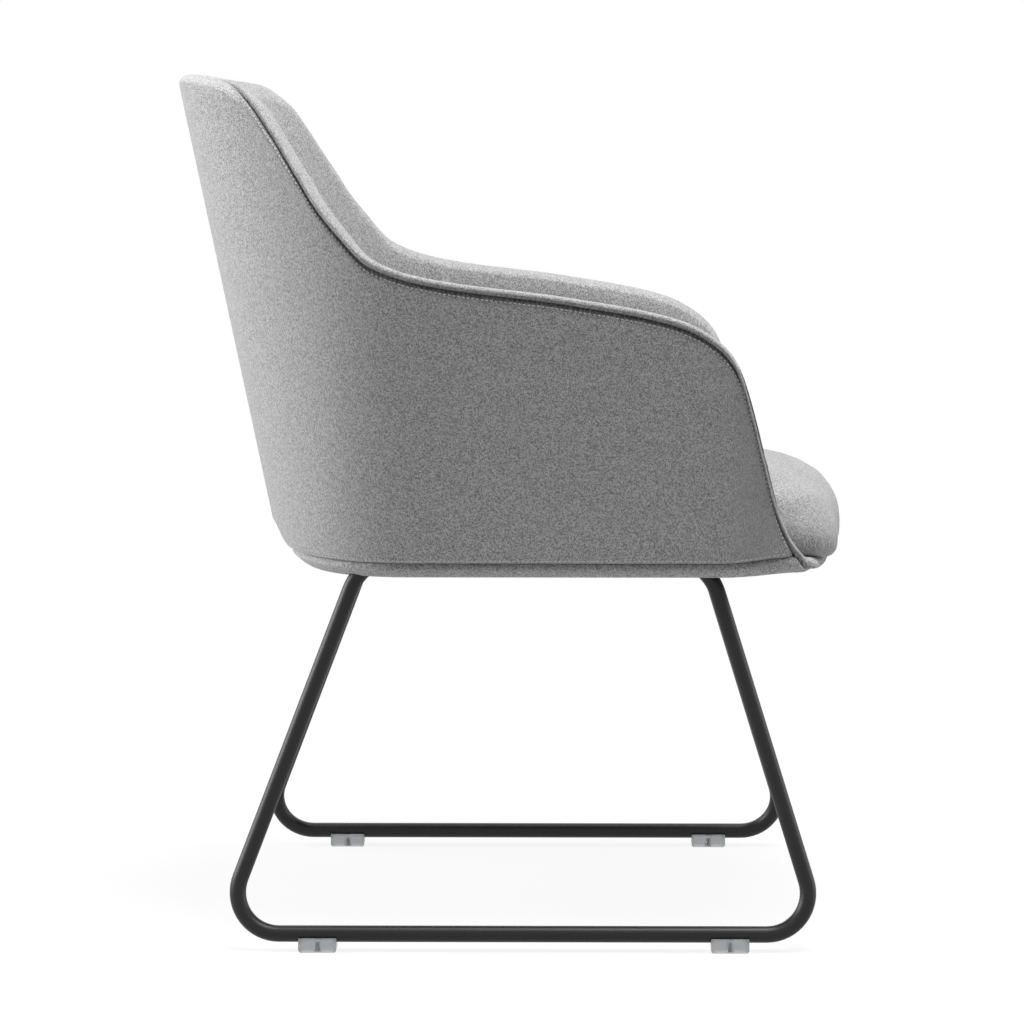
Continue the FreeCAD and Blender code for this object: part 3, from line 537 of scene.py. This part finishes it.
# Outer edge of the lip from above, from the middle of the front to the right arm.
LIP_PLAN = [(0.0, -319.5), (-50.0, -318.5), (-100.0, -315.5), (-160.0, -309.0),
            (-205.0, -301.0), (-227.0, -294.0), (-240.0, -284.5), (-247.5, -271.0),
            (-250.0, -255.0), (-250.0, -240.0)]
PLAN_STEP, PLAN_WINDOW, PLAN_ROUNDS = 1.0, 31, 2
# the plan goes on past the arm by this much, so that its last corner is rounded too
PLAN_RUN_ON = 60
LIP_CROWDING, FACING_SPAN, LIP_ROUNDS, TURN_ROUNDS = 0.6, 3, 6, 60


def rounded_plan(corners):
    """The plan's points a step apart, with its corners rounded by a moving average."""
    mirror = [(-x, y) for x, y in reversed(corners[1:3])]
    plan = np.array(mirror + corners + [(corners[-1][0], corners[-1][1] + PLAN_RUN_ON)])
    lengths = cumulative(plan)
    reach = PLAN_WINDOW * PLAN_STEP
    at = np.arange(lengths[len(mirror)] - 2 * reach, lengths[-2] + 1.5 * reach, PLAN_STEP)
    dense = np.stack([np.interp(at, lengths, plan[:, k]) for k in range(2)])
    for _ in range(PLAN_ROUNDS):
        dense = np.stack([np.convolve(row, np.ones(PLAN_WINDOW) / PLAN_WINDOW, "valid")
                          for row in dense])
    inside = (dense[0] <= 0) & (dense[1] <= corners[-1][1])
    return dense.T[inside]


def lip_sections(steps):
    plan = np.vstack([[0.0, LIP_PLAN[0][1]], rounded_plan(LIP_PLAN)[1:], LIP_PLAN[-1]])
    lengths = cumulative(plan)

    def on_plan(at):
        return np.array([np.interp(at, lengths, plan[:, k]) for k in range(2)])

    made = []
    # the steps stand closer together in the corner
    for share in np.linspace(0, 1, steps, endpoint=False) ** LIP_CROWDING:
        at = share * lengths[-1]
        here = on_plan(at)
        ahead = on_plan(at + FACING_SPAN) - on_plan(at - FACING_SPAN)
        ahead /= np.hypot(*ahead)
        facing = (-ahead[1], ahead[0])
        front = facing[1] ** 2
        height = float(rim_height_at(here[1]))
        # the rim's height is taken where its crest ends up
        for _ in range(LIP_ROUNDS):
            lean = (float(half_width(height)) - HALF_BASE) * (1 - front)
            section = Section(here, facing, (0.0, lean), height, front=front)
            height = float(rim_height_at(section.crest()[1]))
        made.append(section)
    return made


def arm_section(along):
    height = float(rim_height_at(along))
    return Section((0.0, along), (-1.0, 0.0), (HALF_BASE, float(half_width(height))), height)


def turn_section(angle):
    around = math.sin(angle) ** 2
    half_wall = (WALL[0] + around * (WALL[1] - WALL[0])) / 2
    base, _ = plan_reach(angle, HALF_BASE, back_depth(BASE))
    height = ARM_TOP
    for _ in range(TURN_ROUNDS):
        rim, square = plan_reach(angle, float(half_width(height)), back_depth(height))
        behind = (rim - half_wall / square) * math.sin(angle)
        height += (float(rim_height_at(TURN_START + behind)) - height) / 2
    return Section((0.0, TURN_START), (-math.cos(angle), math.sin(angle)), (base, rim), height,
                   around=around, square=square)


LIP_STEPS, ARM_STEPS, TURN_STEPS = 70, 80, 132
ARM_START, ARM_CROWDING = LIP_PLAN[-1][1], 1.4
right_half = lip_sections(LIP_STEPS)
right_half += [arm_section(ARM_START
                           + (TURN_START - ARM_START) * (step / ARM_STEPS) ** ARM_CROWDING)
               for step in range(ARM_STEPS)]
right_half += [turn_section(math.pi * step / TURN_STEPS)
               for step in range(TURN_STEPS // 2 + 1)]


def mirrored(section):
    """The same section on the chair's left."""
    other = Section.__new__(Section)
    other.__dict__.update(section.__dict__)
    other.origin, other.facing = section.origin * [-1, 1, 1], section.facing * [-1, 1, 1]
    return other


STEEP_WINDOW = 7
crests = np.array([section.crest() for section in right_half])
runs = np.diff(crests, axis=0)
steeps = np.sqrt(1 + (runs[:, 2] / np.hypot(runs[:, 0], runs[:, 1])) ** 2)
steeps = np.pad(steeps, STEEP_WINDOW // 2, mode="edge")
steeps = np.convolve(steeps, np.ones(STEEP_WINDOW) / STEEP_WINDOW, "valid")
for section, steep in zip(right_half, steeps):
    section.set_shoulder(float(steep))
sections = right_half + [mirrored(section) for section in reversed(right_half[:-1])]
print(len(sections), "sections in a closed ring")

# %% [markdown]
# ## Cloth from a grid
# A cover panel is one sheet of cloth pulled over foam, so each starts as a grid with a row of
# vertices for every section. The grid is folded into place row by row, and its UV map keeps
# the cloth's flat size in metres, so that the weave runs along the panel. At a seam the cloth
# turns under, so the panel dips there, and again where the top stitches hold it down. A last
# operator gives it the thickness of the cloth and its backing.

# %% Helpers for new pieces
COVER_THICK, BAND_THICK, MERGE_WITHIN = 3.5, 1.5, 0.01


def deselect_all():
    if bpy.context.object and bpy.context.object.mode != "OBJECT":
        bpy.ops.object.mode_set(mode="OBJECT")
    bpy.ops.object.select_all(action="DESELECT")


def take(piece):
    """Makes one piece the selected and active one."""
    deselect_all()
    piece.select_set(True)
    bpy.context.view_layer.objects.active = piece


def edit_all(piece, *steps):
    """Runs edit-mode operators on the whole of a piece."""
    take(piece)
    bpy.ops.object.mode_set(mode="EDIT")
    bpy.ops.mesh.select_all(action="SELECT")
    for step in steps:
        step()
    bpy.ops.object.mode_set(mode="OBJECT")


def name_piece(name):
    piece = bpy.context.object
    piece.name = piece.data.name = name
    return piece


def apply_modifier(piece, kind, **settings):
    take(piece)
    modifier = piece.modifiers.new(kind.title(), kind)
    for name, value in settings.items():
        setattr(modifier, name, value)
    bpy.ops.object.modifier_apply(modifier=modifier.name)


def read_points(piece, what="co"):
    flat = np.empty(len(piece.data.vertices) * 3, np.float32)
    piece.data.vertices.foreach_get(what, flat)
    return flat.reshape(-1, 3).astype(float)


def move_points(piece, points):
    piece.data.vertices.foreach_set("co", np.asarray(points, np.float32).ravel())
    piece.data.update()


def finish_piece(piece, material, slot, *nodes):
    piece.data.materials.clear()
    piece.data.materials.append(material)
    take(piece)
    bpy.ops.object.shade_smooth()
    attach(piece, "root")
    if nodes:
        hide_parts(*nodes)
    triangles = sum(len(face.vertices) - 2 for face in piece.data.polygons)
    print(piece.name, triangles, "triangles")


def cloth_grid(name, points, outward, thickness):
    """Grid folded onto an array of points in millimetres, with a flat map in metres."""
    points = np.array(points) * MM
    across, along = points.shape[:2]
    deselect_all()
    bpy.ops.mesh.primitive_grid_add(x_subdivisions=along - 1, y_subdivisions=across - 1, size=1)
    piece = name_piece(name)
    start = read_points(piece)
    column = np.rint((start[:, 0] + 0.5) * (along - 1)).astype(int)
    line = np.rint((start[:, 1] + 0.5) * (across - 1)).astype(int)
    move_points(piece, points[line, column])
    down = np.array([cumulative(row) for row in points])
    over = cumulative(points[:, along // 2])
    where = np.empty(len(piece.data.loops), np.int32)
    piece.data.loops.foreach_get("vertex_index", where)
    flat = np.stack([over[line[where]], down[line[where], column[where]]], axis=1)
    piece.data.uv_layers.active.data.foreach_set("uv", flat.astype(np.float32).ravel())
    facing = np.sum(read_points(piece, "normal") * np.array(outward)[line, column])
    if facing < 0:
        edit_all(piece, bpy.ops.mesh.flip_normals)
    edit_all(piece, lambda: bpy.ops.mesh.remove_doubles(threshold=MERGE_WITHIN * MM))
    apply_modifier(piece, "SOLIDIFY", thickness=thickness * MM, offset=-1)
    return piece


# %% Rows of points along the skin
SEAM_DEPTH, SEAM_WIDTH, SEAM_POWER = 3.6, 6.0, 1.6
ROLL, ROLL_PLACE = 2.4, 5.0
STITCH_LINE, STITCH_DEPTH, STITCH_SPREAD = 4.2, 0.5, 1.0


def seam_dip(distance, stitched):
    """How far the cloth lies in at a distance from its sewn edge."""
    dip = SEAM_DEPTH * np.clip(1 - distance / SEAM_WIDTH, 0, 1) ** SEAM_POWER
    if stitched:
        dip = dip + STITCH_DEPTH * np.exp(-((distance - STITCH_LINE) / STITCH_SPREAD) ** 2)
    return dip


def roll(distance):
    """How far the rim's foam rolls out over its seam, at a distance from it."""
    share = distance / ROLL_PLACE
    return ROLL * share * np.exp(1 - share)


def on_skin(section, skin, places, dips):
    """Points at given lengths along the skin, moved in by the dips, with their normals."""
    reaches, levels, lengths = skin.reaches, skin.levels, skin.lengths
    near = 0.4
    before, after = places - near, places + near
    run = np.stack([np.interp(after, lengths, line) - np.interp(before, lengths, line)
                    for line in (reaches, levels)])
    run /= np.maximum(np.hypot(*run), 1e-9)
    normal = np.stack([-run[1], run[0]])
    reach = np.interp(places, lengths, reaches) - normal[0] * dips
    level = np.interp(places, lengths, levels) - normal[1] * dips
    points = section.origin + np.outer(reach, section.facing) + np.outer(level, [0, 0, 1])
    outward = np.outer(normal[0], section.facing) + np.outer(normal[1], [0, 0, 1])
    return points, outward


def graded(start, end, edges, counts):
    """Places from start to end, closer together within an edge's width of either end."""
    length = end - start
    first, last = (min(edge, length / 3) for edge in edges)
    return np.concatenate([np.linspace(start, start + first, counts[0], endpoint=False),
                           np.linspace(start + first, end - last, counts[1], endpoint=False),
                           np.linspace(end - last, end, counts[2])])


skins = [section.skin() for section in sections]


# %% [markdown]
# ## The outer panel
# The outer panel wraps the whole outside from one toe to the other. Its top edge is turned
# under at the rim seam and its bottom edge at the skirt seam. Both edges are top stitched.

# %% Outer panel
LEAST_PANEL, LEAST_BROWED = 1.0, 60.0
# widths along the cloth that get closer rows: the sewn strip, the brow and the lower edge
SEWN_WIDTH, EDGE_WIDTH, BROW_BELOW, BROW_CLEAR = 10, 12, 14.0, 14
SEWN_ROWS, BROW_ROWS, FLAT_ROWS, PLAIN_ROWS = 11, 17, (1, 21, 12), (28, 22, 12)
rows, normals = [], []
for section, skin in zip(sections, skins):
    rim_seam, low_seam = skin.rim_seam, skin.low_seam
    if low_seam - rim_seam < LEAST_PANEL:
        continue
    if low_seam - rim_seam > LEAST_BROWED:
        sewn = rim_seam + SEWN_WIDTH
        brow_end = min(max(skin.shoulder + BROW_BELOW, rim_seam + EDGE_WIDTH),
                       low_seam - BROW_CLEAR)
        places = np.concatenate([np.linspace(rim_seam, sewn, SEWN_ROWS, endpoint=False),
                                 np.linspace(sewn, brow_end, BROW_ROWS, endpoint=False),
                                 graded(brow_end, low_seam, (1, EDGE_WIDTH), FLAT_ROWS)])
    else:
        places = graded(rim_seam, low_seam, (EDGE_WIDTH, EDGE_WIDTH), PLAIN_ROWS)
    dips = seam_dip(places - rim_seam, True) + seam_dip(low_seam - places, True)
    points, outward = on_skin(section, skin, places, dips)
    rows.append(points)
    normals.append(outward)
outer_panel = cloth_grid("outer_panel", rows, normals, COVER_THICK)
# its weave darkens the cloth below the rim seam with painted shade, most of all in the creases
finish_piece(outer_panel, gathered_painted_shade_weave, "grey_weave", "outer_cover", "outer_foam")

# %% [markdown]
# ## The rim and the inside
# One panel runs from the rim seam over the rounded rim and down the inside, over thicker
# foam. Round the front it is the lip that the cushion's nose rests on.

# %% Rim and inner panel
INSIDE_ROWS, OVER_ROWS, OVER_CROWDING = 20, 34, 1.5
# only the higher part of the rim is full enough to roll over its seam
ROLL_FROM, ROLL_FULL = 390.0, 470.0
rows, normals = [], []
for section, skin in zip(sections, skins):
    rim_end, rim_seam = skin.rim_end, skin.rim_seam
    over = 1 - np.linspace(1, 0, OVER_ROWS) ** OVER_CROWDING
    places = np.concatenate([np.linspace(0, rim_end, INSIDE_ROWS, endpoint=False),
                             rim_end + (rim_seam - rim_end) * over])
    rolled = float(fade(section.height, ROLL_FROM, ROLL_FULL))
    dips = seam_dip(rim_seam - places, False) - rolled * roll(rim_seam - places)
    points, outward = on_skin(section, skin, places, dips)
    # from the seam inwards, so that the cloth's map, and the painted shade that its weave lays
    # below the roll, start at the seam
    rows.append(points[::-1])
    normals.append(outward[::-1])
rim_panel = cloth_grid("rim_and_inner_panel", rows, normals, COVER_THICK)
finish_piece(rim_panel, rolled_painted_shade_weave, "grey_weave", "inner_cover", "inner_foam",
             "arm_toe_right", "arm_toe_left", "front_lip")

# %% [markdown]
# ## The skirt
# Below the stitched seam a narrower band of cloth turns under the tub's foot and ends a little
# way in. It is one more sheet on the same sections, from the seam to the end of the skin, with
# only its top edge sewn in.

# %% Skirt
SKIRT_EDGES, SKIRT_ROWS = (10, 2), (10, 16, 2)
rows, normals = [], []
for section, skin in zip(sections, skins):
    low_seam = skin.low_seam
    places = graded(low_seam, skin.lengths[-1], SKIRT_EDGES, SKIRT_ROWS)
    points, outward = on_skin(section, skin, places, seam_dip(places - low_seam, False))
    rows.append(points)
    normals.append(outward)
skirt = cloth_grid("skirt", rows, normals, BAND_THICK)
finish_piece(skirt, grey_weave, "grey_weave", "bottom_band")

# %% [markdown]
# ## The seat cushion
# The cushion is a crowned pad whose nose rolls over the front edge. A filled circle is
# extruded up into rings, each ring is fitted to the tub's inner face and the bowed front, and
# the space of the seat board is cut away. Cloth under pressure then swells the pad a little,
# and its moves are evened out so that the crown stays smooth. Seen from above, a narrow strip
# of the board stays bare beside and behind the finished pad.

# %% Outline of the cushion at one level
RING_POINTS = 120
NOSE_DEPTH, NOSE_SIDE, NOSE_CORNER, NOSE_BOW = 100.0, 238.0, 60.0, 14.0
# where the nose is fuller, as shares of its rise, and the powers of its round and full corner
NOSE_RISE, FULL_SHARE, FULL_FADE, ROUND_POWER, FULL_POWER = 80.0, 0.62, 0.4, 2.0, 4.0
BACK_STEPS, BOW_POINTS, CORNER_POINTS = 40, 20, 16
# each ring's share of the height, and of the inset at the front and at the sides
CUSHION_SHARES = [(0.0, 0.09, 0.03), (0.10, 0.015, 0.0), (0.28, 0.0, 0.0), (0.48, 0.015, 0.0),
                  (0.66, 0.06, 0.01), (0.82, 0.17, 0.06), (0.94, 0.42, 0.16), (1.0, 0.85, 0.38)]
cushion_back = [turn_section(math.pi * step / BACK_STEPS) for step in range(BACK_STEPS + 1)]


def ellipse_corner(centre, across, along, power=2.0):
    """A quarter turn forwards from the side, round for a power of 2 and fuller above it."""
    turns = np.linspace(0, -math.pi / 2, CORNER_POINTS)
    wide = np.abs(np.cos(turns)) ** (2 / power) * np.sign(np.cos(turns))
    deep = np.abs(np.sin(turns)) ** (2 / power) * np.sign(np.sin(turns))
    return [np.array([centre[0] + across * x, centre[1] + along * y])
            for x, y in zip(wide, deep)]


def cushion_outline(level, front_share, side_share, shrink):
    """Closed outline from the right rear, round the back, to the front and home."""
    inset = shrink + side_share * NOSE_DEPTH
    axis = np.array([0.0, TURN_START])
    back = []
    for section in cushion_back:
        point = section.at(section.thick, level)[:2]
        back.append(point + (axis - point) / np.linalg.norm(axis - point) * inset)
    half = back[-1][0]
    front = NOSE_FRONT - front_share * NOSE_DEPTH - shrink
    corner_y = -(NOSE_SIDE - front_share * NOSE_DEPTH)
    front_y = -front + NOSE_BOW
    # the foot of the nose is fuller at its corners than the crown is
    full = float(fade(FULL_SHARE - (level - NOSE_BOTTOM) / NOSE_RISE, 0.0, FULL_FADE))
    power = ROUND_POWER + (FULL_POWER - ROUND_POWER) * full
    left = ellipse_corner((half - NOSE_CORNER, corner_y), NOSE_CORNER, corner_y - front_y,
                          power)
    reach = half - NOSE_CORNER
    bow = [np.array([x, -front + NOSE_BOW * (x / reach) ** 2])
           for x in np.linspace(reach, -reach, BOW_POINTS)[1:-1]]
    right = [np.array([-p[0], p[1]]) for p in reversed(left)]
    return np.array(back + left + bow + right)


def spaced(outline, count):
    """Evenly spaced points round a closed outline."""
    closed = np.vstack([outline, outline[:1]])
    lengths = cumulative(closed)
    at = np.linspace(0, lengths[-1], count, endpoint=False)
    return np.stack([np.interp(at, lengths, closed[:, k]) for k in range(2)], axis=1)


# %% Cushion: rings from a filled circle
SHRINK = 4.0
# size of the plain rings before they are fitted, in metres
RING_RADIUS, RING_STEP = 0.2, 0.01
deselect_all()
bpy.ops.mesh.primitive_circle_add(vertices=RING_POINTS, radius=RING_RADIUS, fill_type="NGON",
                                  location=(0, 0, 0))
cushion = name_piece("seat_cushion")
bpy.ops.object.mode_set(mode="EDIT")
bpy.ops.mesh.select_all(action="SELECT")
for _ in CUSHION_SHARES[1:]:
    bpy.ops.mesh.extrude_region_move(TRANSFORM_OT_translate={"value": (0, 0, RING_STEP)})
bpy.ops.object.mode_set(mode="OBJECT")
start = read_points(cushion)
ring = np.rint(start[:, 2] / RING_STEP).astype(int)
turn = np.arctan2(start[:, 1], start[:, 0])
placed = np.zeros_like(start)
rise = SEAT_HEIGHT - NOSE_BOTTOM
for number, (level_share, front_share, side_share) in enumerate(CUSHION_SHARES):
    level = NOSE_BOTTOM + SHRINK * 0.5 + level_share * (rise - SHRINK)
    outline = spaced(cushion_outline(level, front_share, side_share, SHRINK), RING_POINTS)
    members = np.where(ring == number)[0]
    # clockwise from the right-hand end of the back, as the outline runs
    order = members[np.argsort((math.pi - turn[members]) % (2 * math.pi))]
    placed[order, :2] = outline * MM
    placed[order, 2] = level * MM
move_points(cushion, placed)
edit_all(cushion, lambda: bpy.ops.mesh.normals_make_consistent(inside=False))

# %% Cut away the seat board's space
# The cushion wraps the board's rounded front corners, so the space has the board's plan.
BOARD_FRONT, BOARD_CORNER, BOARD_BOW, WIDE = 288.0, 90.0, 6.0, 400.0
BOARD_CLEAR, VOXEL_MM = 1, 5
board_half = cushion_back[-1].at(cushion_back[-1].thick, BOARD_TOP)[0]
corner_y = BOARD_CORNER - BOARD_FRONT
front_y = BOARD_BOW - BOARD_FRONT
left_corner = ellipse_corner((board_half - BOARD_CORNER, corner_y), BOARD_CORNER,
                             corner_y - front_y)
plan = [np.array([-WIDE, WIDE]), np.array([WIDE, WIDE]), np.array([WIDE, corner_y])]
plan += left_corner + [np.array([0, -BOARD_FRONT])]
plan += [point * [-1, 1] for point in reversed(left_corner)] + [np.array([-WIDE, corner_y])]
deselect_all()
bpy.ops.mesh.primitive_circle_add(vertices=len(plan), radius=1, fill_type="NGON")
board_space = name_piece("board_space")
edit_all(board_space, lambda: bpy.ops.mesh.extrude_region_move(
    TRANSFORM_OT_translate={"value": (0, 0, 1)}))
start = read_points(board_space)
# in order of turn, and the lower point of each pair first
around = np.argsort(np.arctan2(start[:, 1], start[:, 0]) * 1e3 + start[:, 2])
placed = np.zeros_like(start)
for number, index in enumerate(around):
    placed[index, :2] = plan[-(number // 2)]
    placed[index, 2] = (start[index, 2] * (BOARD_TOP + BOARD_CLEAR - NOSE_BOTTOM / 2)
                        + NOSE_BOTTOM / 2)
move_points(board_space, placed * MM)
edit_all(board_space, lambda: bpy.ops.mesh.normals_make_consistent(inside=False))
apply_modifier(cushion, "BOOLEAN", operation="DIFFERENCE", object=board_space, solver="EXACT")
bpy.data.objects.remove(board_space)
apply_modifier(cushion, "REMESH", mode="VOXEL", voxel_size=VOXEL_MM * MM)
print("cushion", len(cushion.data.vertices), "points before the cloth")

# %% Swell the cushion
EVEN_ROUNDS = 30


def evened(piece, moves):
    """Moves averaged with those of the neighbouring points, so that no ripple is left."""
    edges = np.empty(len(piece.data.edges) * 2, np.int32)
    piece.data.edges.foreach_get("vertices", edges)
    first, second = edges.reshape(-1, 2).T
    count = np.bincount(edges, minlength=len(moves))[:, None] + 1
    for _ in range(EVEN_ROUNDS):
        total = moves.copy()
        for k in range(3):
            total[:, k] += np.bincount(first, moves[second, k], len(moves))
            total[:, k] += np.bincount(second, moves[first, k], len(moves))
        moves = total / count
    return moves


PRESSURE, SWELL_FRAMES = 4.0, 20
# in metres: the most that a point may move, and how far above the board the cloth is held
SWELL_LIMIT, HELD_ABOVE = 0.007, 0.006
# The nose hangs a little over the lip, in millimetres: how much, from where to where before
# the middle of the chair, below which level, and over what height it comes in.
NOSE_HANG, HANG_FROM, HANG_FULL, HANG_TOP, HANG_FADE = 3.0, 292.0, 312.0, 410.0, 32.0
before = read_points(cushion)
held = cushion.vertex_groups.new(name="held")
still = np.where(before[:, 2] < BOARD_TOP * MM + HELD_ABOVE)[0]
held.add([int(v) for v in still if before[v, 1] > -BOARD_FRONT * MM], 1.0, "REPLACE")
take(cushion)
cloth = cushion.modifiers.new("Cloth", "CLOTH")
cloth.settings.use_pressure = True
cloth.settings.uniform_pressure_force = PRESSURE
cloth.settings.vertex_group_mass = "held"
cloth.settings.effector_weights.gravity = 0.0
for step in range(1, SWELL_FRAMES + 1):
    bpy.context.scene.frame_set(step)
bpy.ops.object.modifier_apply(modifier=cloth.name)
bpy.context.scene.frame_set(1)
moved_by = evened(cushion, read_points(cushion) - before)
lengths = np.linalg.norm(moved_by, axis=1, keepdims=True)
moved_by *= np.minimum(1.0, SWELL_LIMIT / np.maximum(lengths, 1e-9))
print("swelled by up to", round(float(lengths.max()) * 1000, 1), "mm")
move_points(cushion, before + moved_by)
cushion.vertex_groups.clear()
apply_modifier(cushion, "SMOOTH", factor=0.5, iterations=6)
points = read_points(cushion)
hang = fade(-points[:, 1] / MM, HANG_FROM, HANG_FULL)
hang = hang * fade(HANG_TOP - points[:, 2] / MM, 0.0, HANG_FADE)
points[:, 2] -= NOSE_HANG * MM * hang
move_points(cushion, points)
apply_modifier(cushion, "SUBSURF", levels=1, render_levels=1)


# %% Flat map for the cushion
def drape_map(piece, crown):
    """UV in metres: the plan in the middle, running on down over the edges."""
    mesh = piece.data
    points = read_points(piece)
    normals = evened(piece, read_points(piece, "normal"))
    flat = points[:, :2] + normals[:, :2] * np.maximum(crown - points[:, 2:3], 0)
    layer = mesh.uv_layers.active or mesh.uv_layers.new(name="cloth")
    where = np.empty(len(mesh.loops), np.int32)
    mesh.loops.foreach_get("vertex_index", where)
    layer.data.foreach_set("uv", flat[where].astype(np.float32).ravel())


drape_map(cushion, SEAT_HEIGHT * MM)
finish_piece(cushion, grey_weave, "grey_weave", "seat_cover", "seat_foam")

# %% [markdown]
# ## Corner folds
# Where the lip turns the corner, the cover is folded flat under the cushion and tacked to the
# board. A filled circle is pulled into the fold's outline, and the second is its mirror image.

# %% Two corner folds
FOLD_LEVEL = 364.0
FOLD_PLAN = [(238, -225), (238, -262), (229, -277), (213, -287), (190, -292), (150, -298),
             (120, -300), (120, -262), (165, -225)]
for side, name in ((-1, "corner_fold_right"), (1, "corner_fold_left")):
    deselect_all()
    bpy.ops.mesh.primitive_circle_add(vertices=len(FOLD_PLAN), radius=1, fill_type="NGON")
    fold = name_piece(name)
    placed = [(side * x * MM, y * MM, FOLD_LEVEL * MM) for x, y in FOLD_PLAN]
    move_points(fold, placed)
    edit_all(fold, lambda: bpy.ops.mesh.normals_make_consistent(inside=False))
    if read_points(fold, "normal")[0, 2] < 0:
        edit_all(fold, bpy.ops.mesh.flip_normals)
    drape_map(fold, FOLD_LEVEL * MM)
    apply_modifier(fold, "SOLIDIFY", thickness=BAND_THICK * MM, offset=-1)
    finish_piece(fold, grey_weave, "grey_weave")

# %% [markdown]
# ## Top stitches
# The stitches are real pieces of thread. One small rounded stitch is made, repeated by an
# array, and each copy is then laid in its place along the two stitched lines.

# %% Stitches
STITCH_LENGTH, STITCH_PITCH, THREAD, STITCH_ROOM = 3.0, 4.5, 0.6, 2


def stitch_line(which, distance):
    """Points of a stitched line on the outer panel, with the way the cloth faces there."""
    points, outward = [], []
    for section, skin in zip(sections, skins):
        if skin.low_seam - skin.rim_seam < 2 * STITCH_LINE + STITCH_ROOM:
            continue
        place = skin.rim_seam + distance if which == "rim" else skin.low_seam - distance
        point, normal = on_skin(section, skin, np.array([place]), np.array([STITCH_DEPTH]))
        points.append(point[0])
        outward.append(normal[0])
    return np.array(points), np.array(outward)


frames = []
for which in ("rim", "low"):
    line, outward = stitch_line(which, STITCH_LINE)
    lengths = cumulative(line)
    for start in np.arange(STITCH_PITCH, lengths[-1] - STITCH_PITCH, STITCH_PITCH):
        ends = [np.array([np.interp(at, lengths, line[:, k]) for k in range(3)])
                for at in (start, start + STITCH_LENGTH)]
        up = np.array([np.interp(start, lengths, outward[:, k]) for k in range(3)])
        ahead = (ends[1] - ends[0]) / np.linalg.norm(ends[1] - ends[0])
        side = np.cross(up, ahead)
        side /= np.linalg.norm(side)
        frames.append(((ends[0] + ends[1]) / 2, ahead, side, np.cross(ahead, side)))
deselect_all()
bpy.ops.mesh.primitive_uv_sphere_add(segments=8, ring_count=6, radius=1)
stitches = name_piece("top_stitches")
template = read_points(stitches)
apply_modifier(stitches, "ARRAY", count=len(frames))
shape = template * [STITCH_LENGTH / 2, THREAD, THREAD]
move_points(stitches, np.concatenate([
    (centre + shape[:, :1] * ahead + shape[:, 1:2] * side + shape[:, 2:] * up) * MM
    for centre, ahead, side, up in frames]))
finish_piece(stitches, thread, "grey_weave")
print(len(frames), "stitches")
